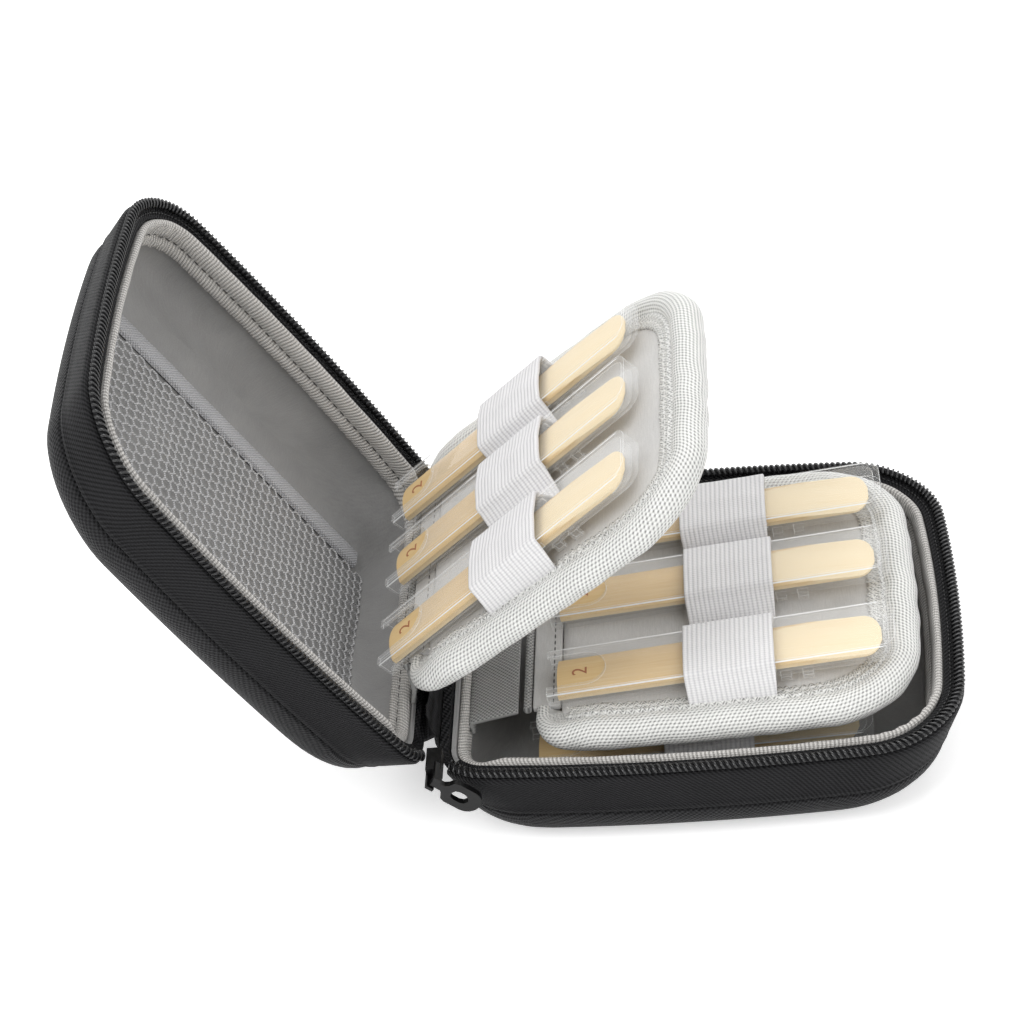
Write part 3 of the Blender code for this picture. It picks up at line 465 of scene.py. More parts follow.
def sheet_mesh(
    rows: list[list[Point]],
    wrap_row: bool = False,
    wrap_stack: bool = False,
    capped: bool = False,
    flat_map: bool = False,
) -> bpy.types.Mesh:
    """Makes a sheet of quads through rows of points, with a map in millimetres.

    Args:
        rows: Rows of equal length.
        wrap_row: Whether each row runs round to its start.
        wrap_stack: Whether the last row joins the first.
        capped: Whether the open ends are closed by flat faces.
        flat_map: Whether the map is the points' own X and Y, instead of lengths along the sheet.

    Returns:
        The mesh, with its normals outward where it is closed.
    """
    grid = np.asarray(rows, float)
    count, width = grid.shape[:2]
    high, wide = (count if wrap_stack else count - 1), (width if wrap_row else width - 1)
    i, j = np.meshgrid(np.arange(high), np.arange(wide), indexing="ij")
    i, j = i.ravel(), j.ravel()
    above, beside = (i + 1) % count, (j + 1) % width
    faces = np.stack([i * width + j, i * width + beside, above * width + beside, above * width + j], 1)
    middle = grid[count // 2]
    along = np.concatenate([[0.0], np.cumsum(np.linalg.norm(np.roll(middle, -1, 0) - middle, axis=1))])
    steps = np.linalg.norm(np.roll(grid, -1, 0) - grid, axis=2)
    across = np.concatenate([np.zeros((1, width)), np.cumsum(steps, 0)])
    flat = grid.reshape(-1, 3)
    if flat_map:
        maps = flat[faces][:, :, :2]
    else:
        u = np.stack([along[j], along[j + 1], along[j + 1], along[j]], 1)
        v = np.stack([across[i, j], across[i, beside], across[i + 1, beside], across[i + 1, j]], 1)
        maps = np.stack([u, v], 2)
    polygons, coordinates = faces.tolist(), maps.reshape(-1, 2).tolist()
    ends: list[list[int]] = []
    if capped and wrap_row:
        ends = [list(range(width)), list(range((count - 1) * width, count * width))]
    elif capped:
        ends = [[r * width for r in range(count)], [r * width + width - 1 for r in range(count)]]
    for end in ends:
        polygons.append(end)
        coordinates += [flat[v][:2].tolist() for v in end]
    mesh = bpy.data.meshes.new("sheet")
    mesh.from_pydata(flat.tolist(), [], polygons)
    mesh.uv_layers.new(name="UVMap").data.foreach_set("uv", (np.array(coordinates) / MM).ravel())
    if capped or (wrap_row and wrap_stack):
        bm = bmesh.new()
        bm.from_mesh(mesh)
        bmesh.ops.recalc_face_normals(bm, faces=bm.faces)
        bm.to_mesh(mesh)
        bm.free()
    return mesh


def map_from_above(mesh: bpy.types.Mesh) -> None:
    """Gives a mesh a map of its own X and Y in millimetres.

    Args:
        mesh: The mesh, changed in place.
    """
    layer = mesh.uv_layers.get("UVMap") or mesh.uv_layers.new(name="UVMap")
    places = np.array([mesh.vertices[loop.vertex_index].co[:2] for loop in mesh.loops], float)
    layer.data.foreach_set("uv", (places / MM).ravel())


def copies_mesh(template: bpy.types.Mesh, places: list[Matrix]) -> bpy.types.Mesh:
    """Copies one small shape to many places in one mesh.

    Args:
        template: The shape to copy.
        places: A matrix for each copy.

    Returns:
        The mesh with every copy.
    """
    flat = np.array([v.co for v in template.vertices], float)
    faces = [list(p.vertices) for p in template.polygons]
    points, polygons = [], []
    for number, place in enumerate(places):
        turn = np.array(place, float)
        points.append(flat @ turn[:3, :3].T + turn[:3, 3])
        polygons += [[v + number * len(flat) for v in face] for face in faces]
    mesh = bpy.data.meshes.new("copies")
    mesh.from_pydata(np.concatenate(points).tolist(), [], polygons)
    return mesh


def placed(
    name: str,
    mesh: bpy.types.Mesh,
    where: Matrix,
    finish: bpy.types.Material,
    body: str,
    nodes: tuple[str, ...] = (),
    sharp: float = 50.0,
) -> bpy.types.Object:
    """Puts a finished mesh on its body, in place of the nodes that it stands for.

    Args:
        name: The piece's name.
        mesh: Its mesh, in the frame that where gives.
        where: The frame that the mesh was made in.
        finish: Its material.
        body: The body that it moves with, or "" for none.
        nodes: The solids that it stands for.
        sharp: The angle in degrees above which an edge stays sharp.

    Returns:
        The piece.
    """
    mesh.name = name
    mesh.transform(where)
    mesh.materials.clear()
    mesh.materials.append(finish)
    mesh.shade_smooth()
    mesh.set_sharp_from_angle(angle=math.radians(sharp))
    piece = bpy.data.objects.new(name, mesh)
    bpy.context.scene.collection.objects.link(piece)
    if body:
        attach(piece, body)
    if nodes:
        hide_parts(*nodes)
    LOG.info("%s: %d faces on %s", name, len(mesh.polygons), body or "two bodies")
    return piece


def clear_selection() -> None:
    """Deselects everything, so that an operator acts on the new piece alone."""
    for obj in bpy.context.view_layer.objects:
        obj.select_set(False)


def taken_mesh(piece: bpy.types.Object) -> bpy.types.Mesh:
    """Takes a modelled object's mesh, with its modifiers and its place applied, and removes the object.

    Args:
        piece: The modelled object.

    Returns:
        The mesh on its own.
    """
    graph = bpy.context.evaluated_depsgraph_get()
    mesh = bpy.data.meshes.new_from_object(piece.evaluated_get(graph))
    mesh.transform(piece.matrix_world)
    bpy.data.objects.remove(piece, do_unlink=True)
    return mesh


def thickened(mesh: bpy.types.Mesh, thickness: float, rounded: float) -> bpy.types.Mesh:
    """Gives an open sheet its thickness, and its edges a small round.

    Args:
        mesh: The open sheet, which becomes the middle of the thick one.
        thickness: How thick it gets.
        rounded: The edges' bevel.

    Returns:
        The closed mesh.
    """
    piece = bpy.data.objects.new(mesh.name, mesh)
    bpy.context.scene.collection.objects.link(piece)
    cloth = piece.modifiers.new("cloth", "SOLIDIFY")
    cloth.thickness, cloth.offset, cloth.use_even_offset = thickness, 0.0, True
    bevel = piece.modifiers.new("edge", "BEVEL")
    bevel.width, bevel.segments, bevel.limit_method = rounded, 2, "ANGLE"
    bevel.angle_limit = math.radians(60)
    return taken_mesh(piece)


def bead_mesh() -> bpy.types.Mesh:
    """A small rounded bead of unit half-lengths, for stitches."""
    clear_selection()
    bpy.ops.mesh.primitive_uv_sphere_add(segments=8, ring_count=6, radius=1.0, location=(0, 0, 0))
    return taken_mesh(bpy.context.object)


# Geometry


def turned(place: Point, degrees: float) -> Matrix:
    """A frame at a place, turned up about -Y.

    Args:
        place: Its origin.
        degrees: How far it is turned up.

    Returns:
        The frame's matrix.
    """
    return Matrix.Translation(place) @ Matrix.Rotation(-math.radians(degrees), 4, "Y")


def spanned(spot: Vector, *axes: Vector) -> Matrix:
    """The matrix that puts a unit shape at a spot, with its X, Y and Z along these three axes."""
    return Matrix.Translation(spot) @ Matrix(axes).transposed().to_4x4()


def stitch(spot: Vector, out: Vector, up: Vector, ahead: Vector, size: Point) -> Matrix:
    """The matrix of one stitch at a spot, with its half-sizes out from its seam, up and along it."""
    return spanned(spot, out * size[0], up * size[1], ahead * size[2])


def joint(name: str) -> dict:
    """The record's joint of that name."""
    return next(j for j in frame["joints"] if j["name"] == name)


def arc(x: float, y: float, radius: float, start: float, end: float, steps: int) -> Section:
    """Points on an arc.

    Args:
        x: Its centre's first coordinate.
        y: Its centre's second coordinate.
        radius: Its radius.
        start: Where it starts, in degrees.
        end: Where it ends, in degrees.
        steps: How many steps it takes.

    Returns:
        The points, both ends with them.
    """
    angles = [math.radians(start + (end - start) * i / steps) for i in range(steps + 1)]
    return [(x + radius * math.cos(a), y + radius * math.sin(a)) for a in angles]


def blended(first: float, last: float, share: float) -> float:
    """The value that far from first to last."""
    return first + (last - first) * share


def eased(share: float) -> float:
    """A share from 0 to 1 that starts and ends gently."""
    share = min(1.0, max(0.0, share))
    return share * share * (3 - 2 * share)


def between(first: tuple[float, float], last: tuple[float, float], steps: int) -> Section:
    """Evenly spaced points inside a straight.

    Args:
        first: Its start, left out.
        last: Its end, left out.
        steps: How many points lie inside it.

    Returns:
        The points.
    """
    shares = [i / (steps + 1) for i in range(1, steps + 1)]
    return [(blended(first[0], last[0], s), blended(first[1], last[1], s)) for s in shares]


def ripple(u: float, v: float, size: float, seed: float) -> float:
    """A smooth uneven value from -1 to 1 over a surface.

    Args:
        u: The place along, in metres.
        v: The place across, in metres.
        size: The unevenness's size, in metres.
        seed: Which of the patterns.

    Returns:
        The value there.
    """
    return 2 * noise.noise((u / size, v / size, seed))


def run_of(points: Section) -> list[float]:
    """How far along a path each of its points lies."""
    lengths = [0.0]
    for a, b in zip(points, points[1:]):
        lengths.append(lengths[-1] + math.dist(a, b))
    return lengths


def stations(points: Section, pitch: float) -> list[tuple[Vector, Vector, Vector]]:
    """Evenly spaced places on a path.

    Args:
        points: The path.
        pitch: The wanted spacing.

    Returns:
        Each place, the direction ahead there and the one to the path's right, all with no height.
    """
    lengths = run_of(points)
    count = max(2, round(lengths[-1] / pitch))
    found, k = [], 0
    for i in range(count):
        place = lengths[-1] * (i + 0.5) / count
        while lengths[k + 1] < place:
            k += 1
        (x_a, y_a), (x_b, y_b) = points[k], points[k + 1]
        step = lengths[k + 1] - lengths[k]
        share = (place - lengths[k]) / step
        dx, dy = (x_b - x_a) / step, (y_b - y_a) / step
        spot = Vector((blended(x_a, x_b, share), blended(y_a, y_b, share), 0.0))
        found.append((spot, Vector((dx, dy, 0.0)), Vector((dy, -dx, 0.0))))
    return found


# Outlines


@dataclass
class Level:
    """How far an outline lies inside its rim on each side, and its corners' radii."""

    side: float
    far: float
    spine: float
    far_radius: float
    spine_radius: float
    bulge_share: float = 1.0


@dataclass
class Outline:
    """A rounded rectangle from x = 0 to its length whose sides and far end bow outwards."""

    length: float
    depth: float
    far_bulge: float
    side_bulge: float
    far_radius: float
    spine_radius: float
    arc_steps: int = 14
    side_steps: int = 44
    far_steps: int = 32
    spine_steps: int = 30
    end_steps: int = 6
    least_radius: float = 1.5 * MM

    def inside(self, inset: float) -> Level:
        """The level that far inside on every side."""
        return Level(inset, inset, inset, self.far_radius - inset, self.spine_radius - inset)

    @property
    def straight_length(self) -> float:
        """The length without the far end's bow."""
        return self.length - self.far_bulge

    @property
    def straight_half(self) -> float:
        """Half the depth without the sides' bow."""
        return self.depth / 2 - self.side_bulge

    def points(
        self, level: Level, skip: int = 0, end_half: float | None = None, closed: bool = True
    ) -> Section:
        """The outline at a level.

        Args:
            level: The level.
            skip: How many of the spine corners' first points are left out, on an open outline.
            end_half: Where an open outline starts and ends on the spine side.
            closed: Whether the spine side is part of it.

        Returns:
            The points, from the spine's front corner round to its back one.
        """
        left, right = level.spine, self.straight_length - level.far
        half = self.straight_half - level.side
        far, near = max(level.far_radius, self.least_radius), max(level.spine_radius, self.least_radius)
        front = arc(left + near, -half + near, near, 180, 270, self.arc_steps)[skip:]
        front += between((left + near, -half), (right - far, -half), self.side_steps)
        front += arc(right - far, -half + far, far, 270, 360, self.arc_steps)
        if end_half is not None:
            start = (left, -end_half)
            front = [start, *between(start, front[0], self.end_steps), *front]
        far_run = between((right, -half + far), (right, half - far), self.far_steps)
        back = [(x, -y) for x, y in reversed(front)]
        spine_run = between((left, half - near), (left, -half + near), self.spine_steps) if closed else []
        box = (left, right, half)
        return [self.bowed(x, y, box, level.bulge_share) for x, y in front + far_run + back + spine_run]

    def bowed(self, x: float, y: float, box: Point, share: float) -> tuple[float, float]:
        """The point moved out by the bow that its place on the outline has.

        Args:
            x: The point's place along.
            y: The point's place across.
            box: The outline's spine side, its far side and half its depth.
            share: How much of the bow this level has.

        Returns:
            The moved point.
        """
        left, right, half = box
        along, across = 2 * (x - left) / (right - left) - 1, y / half
        out_x = self.far_bulge * share * max(0.0, along) * (1 - across**2)
        return x + out_x, y + self.side_bulge * share * across * (1 - along**2)

    def front_at(self, x: float, level: Level) -> float:
        """How far the outline's front lies from the middle at this x."""
        front = sorted(point for point in self.points(level) if point[1] < 0)
        for (x_a, y_a), (x_b, y_b) in zip(front, front[1:]):
            if x_a <= x <= x_b and x_b > x_a:
                return blended(y_a, y_b, (x - x_a) / (x_b - x_a))
        return front[0][1]


class SubAssembly:
    """Something whose pieces share one frame, carry its name and ride on the body named after it."""

    name: str

    @property
    def body(self) -> str:
        """The body that it moves with."""
        return self.name + "_body"

    @property
    def where(self) -> Matrix:
        """The frame that its pieces are modelled in."""
        raise NotImplementedError

    def put(
        self,
        what: str,
        mesh: bpy.types.Mesh,
        finish: bpy.types.Material,
        slot: str,
        node: str = "",
        sharp: float = 50.0,
    ) -> bpy.types.Object:
        """Puts one of its pieces in place.

        Args:
            what: The piece's name, without the sub-assembly's.
            mesh: Its mesh.
            finish: Its material.
            slot: The record's material slot; not used.
            node: The solid that it stands for, without the sub-assembly's name, or "" for none.
            sharp: The angle in degrees above which an edge stays sharp.

        Returns:
            The piece.
        """
        nodes = (f"{self.name}_{node}",) if node else ()
        return placed(f"{self.name}_{what}", mesh, self.where, finish, self.body, nodes, sharp)


# Shells


@dataclass
class Shell(SubAssembly):
    """One moulded half: its nylon tub, zipper, band, inner lip and felt lining."""

    name: str
    side: int
    rim: Outline
    height: float = 22.0 * MM
    wall: float = 1.8 * MM
    spine_gap: float = 0.2 * MM
    shoulder: float = 0.5 * MM
    shoulder_drop: float = 0.8 * MM
    side_flare: float = 0.8 * MM
    far_lean: float = 3.4 * MM
    spine_lean: float = 1.5 * MM
    band_spine_radius: float = 16.0 * MM
    floor_side: float = 7.0 * MM
    floor_far: float = 15.0 * MM
    floor_spine: float = 12.0 * MM
    floor_far_radius: float = 21.0 * MM
    floor_spine_radius: float = 24.0 * MM
    floor_bulge: float = 0.2
    lining: float = 0.8 * MM
    lining_top: float = 4.2 * MM
    tape: float = 0.8 * MM
    tape_drop: float = 11.5 * MM
    tape_inner: float = 2.9 * MM
    corner_skip: int = 7
    coil_bottom: float = 1.75 * MM
    coil_pitch: float = 1.25 * MM
    coil_half_width: float = 0.98 * MM
    coil_half_height: float = 0.6 * MM
    coil_slant: float = 0.42 * MM
    coil_wire: float = 1.0 * MM
    coil_shift: float = 0.1 * MM
    filler_half_width: float = 0.82 * MM
    filler_half_height: float = 0.74 * MM
    filler_depth_share: float = 0.72
    lip: float = 1.5 * MM
    lip_top: float = 1.3 * MM
    lip_height: float = 7.7 * MM
    lip_spine_drop: float = 3.1 * MM
    lip_gather: float = 0.2 * MM
    lip_gather_pitch: float = 0.55 * MM
    lip_gather_end: float = 12.0 * MM
    lip_gather_run: float = 16.0 * MM
    lip_gather_side: float = 22.0 * MM
    lip_gather_rise: float = 10.0 * MM
    lip_scallop: float = 0.22 * MM
    lip_scallop_pitch: float = 2.6 * MM
    lip_swell: float = 0.12 * MM
    lip_swell_size: float = 7.0 * MM
    lip_stitch_pitch: float = 2.4 * MM
    lip_seam_set: float = 0.1 * MM

    # The notch under the hem: how far inside the wall's face and how far below the hem it runs.
    NOTCH: ClassVar[Section] = [(0.25, 0.25), (-0.05, 0.55)]
    # The band's outer face: how far inside it and how far above the hem's fold, a little puffed.
    HEM: ClassVar[Section] = [(0.0, 0.25), (-0.1, 0.9), (0.05, 1.5), (0.0, 3.0)]
    # The band's upper edge: how far inside its outer face and how far below the tape's top.
    SHOULDER: ClassVar[Section] = [(0.0, 1.2), (0.15, 0.35), (0.5, 0.05)]
    # The lip: how far it stands out, in lip thicknesses, and how far below its top. It has a fat roll, a sewn
    # groove and a lower band.
    ROLL: ClassVar[Section] = [(0.0, 7.7), (0.0, 0.6), (0.25, 0.1), (0.6, 0.0), (0.95, 0.35), (1.2, 1.2)]
    ROLL += [(1.25, 2.2), (1.1, 3.4), (0.62, 4.2), (0.62, 4.5), (1.0, 5.2), (1.1, 6.2), (0.95, 7.4)]
    ROLL += [(0.6, 7.7)]
    # Which of the lip's rows gather at the corners, which carries the seam and which are scalloped.
    GATHER_ROW: ClassVar[int] = 4
    SEAM_ROW: ClassVar[int] = 8
    SCALLOP_ROW: ClassVar[int] = 12

    @property
    def where(self) -> Matrix:
        """The half's frame: its origin on the hinge, its rim in the XY plane."""
        lid = joint("lid_hinge")
        return turned(lid["pos_m"], -lid["range_deg"][0] if self.side > 0 else 0.0)

    @property
    def tape_top(self) -> float:
        """The depth of the tape's upper face, under the coil."""
        return self.coil_bottom + TOUCH

    @property
    def shell_top(self) -> float:
        """The depth at which the moulded wall starts, under the zipper's tape."""
        return self.tape_top + self.tape + TOUCH

    @property
    def tub_top(self) -> float:
        """The depth at which the tub's curve starts."""
        return self.tape_drop + TOUCH + self.shoulder_drop

    @property
    def felt_skin(self) -> float:
        """How far the felt's inner face lies inside the wall's outer one."""
        return self.wall + TOUCH + self.lining

    def wall_level(self, skin: float, depth: float) -> Level:
        """The upright wall's outline.

        Args:
            skin: How far inside the wall's outer face it lies.
            depth: How far below the rim.

        Returns:
            The level there.
        """
        lean = min(1.0, max(0.0, (depth - self.shell_top) / (self.tape_drop - self.shell_top)))
        return Level(
            skin - self.side_flare * lean,
            skin + self.far_lean * lean,
            skin + self.spine_gap + self.spine_lean * lean,
            self.rim.far_radius - skin,
            blended(self.rim.spine_radius, self.band_spine_radius, lean) - skin,
        )

    def tub_level(self, skin: float, degrees: float) -> tuple[Level, float]:
        """The outline on the curve from the wall to the flat floor.

        Args:
            skin: How far inside the outer face it lies.
            degrees: How far round the curve, from 0 at the wall to 90 at the floor.

        Returns:
            The level and its depth.
        """
        across, down = math.cos(math.radians(degrees)), math.sin(math.radians(degrees))
        top = self.wall_level(0.0, self.tub_top)
        level = Level(
            blended(self.floor_side, top.side, across) + skin * across,
            blended(self.floor_far, top.far, across) + skin * across,
            blended(self.floor_spine, top.spine, across) + skin * across,
            blended(self.floor_far_radius, top.far_radius, across) - skin * across,
            blended(self.floor_spine_radius, top.spine_radius, across) - skin * across,
            blended(self.floor_bulge, 1.0, across),
        )
        return level, self.tub_top + (self.height - self.tub_top - max(skin, 0.0)) * down

    def ring(self, level: Level, depth: float, **ends: object) -> list[Point]:
        """The outline at a level as points below the rim, or above it in the lid."""
        return [(x, y, self.side * depth) for x, y in self.rim.points(level, **ends)]

    def zip_ring(self, inset: float, at_depth: float, depth: float) -> list[Point]:
        """The open outline that the zipper follows from one end of the spine round to the other.

        Args:
            inset: How far inside the wall's outer face it lies.
            at_depth: The depth whose wall it follows.
            depth: The depth at which it lies.

        Returns:
            Its points.
        """
        return self.ring(self.wall_level(inset, at_depth), depth, skip=self.corner_skip, closed=False)

    def build(self, finishes: Finishes) -> None:
        """Makes and dresses every piece of the half.

        Args:
            finishes: The case's finishes.
        """
        self.build_tub(finishes)
        self.build_band(finishes)
        self.build_coil(finishes)
        self.build_filler(finishes)
        self.build_lip(finishes)
        self.build_lining(finishes)

    def build_tub(self, finishes: Finishes) -> None:
        """Makes the tub: a moulded wall with nylon outside, from under the band round to the flat floor."""
        depths = [(0.0, self.shell_top), (0.0, self.tape_drop - MM)]
        depths += [(skin * MM, self.tape_drop + drop * MM) for skin, drop in self.NOTCH]
        outer = [(self.wall_level(skin, depth), depth) for skin, depth in depths]
        outer += [self.tub_level(-self.shoulder, angle) for angle in (0, 2, 5, *range(10, 91, 8))]
        inner = [(self.wall_level(self.wall, depth), depth) for depth in (self.shell_top, self.tape_drop)]
        inner += [self.tub_level(self.wall, angle) for angle in range(0, 91, 15)]
        rings = [self.ring(level, depth) for level, depth in [*reversed(inner), *outer]]
        self.put("tub", sheet_mesh(rings, wrap_row=True, capped=True), finishes.shell, "shell", "shell")

    def build_band(self, finishes: Finishes) -> None:
        """Makes the zipper's tape: a flat strip under the coil, turned down outside to a hem at the notch."""
        out, top, drop = -TOUCH - self.tape, self.tape_top, self.tape_drop
        section = [(-TOUCH, drop - 0.2 * MM), (-TOUCH - self.tape / 2, drop + 0.1 * MM)]
        section += [(out + inset * MM, drop - rise * MM) for inset, rise in self.HEM]
        section += [(out + inset * MM, top + fall * MM) for inset, fall in self.SHOULDER]
        section += [(0.0, top), (self.tape_inner, top), (self.tape_inner, top + 0.7 * MM)]
        section.append((-TOUCH, top + self.tape))
        rings = [self.zip_ring(inset, depth, depth) for inset, depth in section]
        mesh = sheet_mesh(rings, wrap_stack=True, capped=True)
        self.put("band", mesh, finishes.tape, "zip_tape", "zip_tape", 70)

    def build_coil(self, finishes: Finishes) -> None:
        """Makes the coil: one slanted nylon loop after another along the rim, and its sewing thread."""
        clear_selection()
        bpy.ops.mesh.primitive_torus_add(
            major_radius=1.0, minor_radius=0.3, major_segments=16, minor_segments=6, location=(0, 0, 0)
        )
        loop = taken_mesh(bpy.context.object)
        path = self.rim.points(self.wall_level(0.0, 0.0), skip=self.corner_skip, closed=False)
        up = Vector((0, 0, -self.side))
        coil_centre = self.side * self.coil_bottom / 2 + self.side * self.coil_shift
        thread_depth, thread_inset = self.coil_bottom + 0.05 * MM, 1.75 * MM
        places, threads = [], []
        for spot, ahead, out in stations(path, self.coil_pitch):
            wide = out * self.coil_half_width + ahead * self.coil_slant
            high = up * self.coil_half_height - ahead * self.coil_slant * 0.4
            centre = spot + Vector((0, 0, coil_centre)) + out * self.coil_shift
            places.append(spanned(centre, wide, high, ahead * self.coil_wire))
            seat = spot + Vector((0, 0, self.side * thread_depth)) - out * thread_inset
            threads.append(stitch(seat, out, up, ahead, ZIPPER_STITCH))
        self.put("coil", copies_mesh(loop, places), finishes.coil, "zip_coil", "zip_coil")
        self.put("coil_thread", copies_mesh(bead_mesh(), threads), finishes.coil, "zip_coil")

    def build_filler(self, finishes: Finishes) -> None:
        """Makes the filler cord that the coil is wound round."""
        rings = []
        for across, down in arc(0.0, 0.0, 1.0, 0, 324, 9):
            depth = self.coil_bottom * self.filler_depth_share + self.filler_half_height * down
            rings.append(self.zip_ring(self.filler_half_width * across - self.coil_shift, 0.0, depth))
        mesh = sheet_mesh(rings, wrap_stack=True, capped=True)
        self.put("coil_filler", mesh, finishes.tape, "zip_coil")

    def build_lip(self, finishes: Finishes) -> None:
        """Makes the padded lip: a soft roll, a sewn groove, and a lower band with a scalloped edge."""
        skin, bottom = self.felt_skin + TOUCH, self.lip_top + self.lip_height
        rim = replace(self.rim, side_steps=110, far_steps=80, arc_steps=30, spine_steps=60)
        rows = []
        for number, (share, fall) in enumerate(self.ROLL):
            inset, depth = share * self.lip, self.lip_top + fall * MM
            most = self.lip_spine_drop * (bottom - depth) / self.lip_height
            level, low = self.wall_level(skin + inset, depth), self.wall_level(skin + inset, depth + most)
            level.spine, level.spine_radius = low.spine, low.spine_radius
            flat = rim.points(level)
            row = []
            for (x, y), u in zip(flat, run_of(flat)):
                drop = most * max(0.0, 1 - (x - level.spine) / self.rim.spine_radius)
                if number >= self.SCALLOP_ROW:
                    drop -= self.lip_scallop * abs(math.sin(u * math.pi / self.lip_scallop_pitch))
                push = 0.0
                if inset > 0:
                    push = self.lip_swell * ripple(u, depth, self.lip_swell_size, 3.0)
                    if number >= self.GATHER_ROW:
                        fold = math.sin(u / self.lip_gather_pitch)
                        push += self.lip_gather * fold * self.corner_share(x, y)
                inner = Vector((self.rim.length / 2 - x, -y, 0)).normalized() * push
                row.append((x + inner.x, y + inner.y, self.side * (depth + drop)))
            rows.append(row)
        mesh = sheet_mesh(rows, wrap_row=True, wrap_stack=True)
        self.put("rolled_lip", mesh, finishes.lip, "lip", "lip", 70)
        self.build_lip_stitches(finishes, rows[self.SEAM_ROW])

    def corner_share(self, x: float, y: float) -> float:
        """How much a place on the lip belongs to a far corner, where its cloth gathers."""
        near_end = eased(1 - abs(x - (self.rim.length - self.lip_gather_end)) / self.lip_gather_run)
        return near_end * eased((abs(y) - self.lip_gather_side) / self.lip_gather_rise)

    def build_lip_stitches(self, finishes: Finishes, seam: list[Point]) -> None:
        """Sews the lip's groove down.

        Args:
            finishes: The case's finishes.
            seam: The groove's points.
        """
        places = []
        up = Vector((0, 0, 1))
        for spot, ahead, out in stations([(x, y) for x, y, z in seam], self.lip_stitch_pitch):
            spot.z = min(seam, key=lambda point: math.dist(point[:2], spot[:2]))[2]
            places.append(stitch(spot - out * self.lip_seam_set, out, up, ahead, LIP_STITCH))
        self.put("lip_stitches", copies_mesh(bead_mesh(), places), finishes.dark_thread, "lip")

    def build_lining(self, finishes: Finishes) -> None:
        """Makes the felt lining, from under the lip down the wall and over the floor."""
        faces = []
        for skin in (self.felt_skin, self.wall + TOUCH):
            face = [(self.wall_level(skin, depth), depth) for depth in (self.lining_top, self.tape_drop)]
            faces.append(face + [self.tub_level(skin, angle) for angle in range(0, 91, 10)])
        rows = [self.ring(level, depth) for level, depth in [*reversed(faces[0]), *faces[1]]]
        self.put("felt", sheet_mesh(rows, wrap_row=True, capped=True), finishes.felt, "lining", "lining")


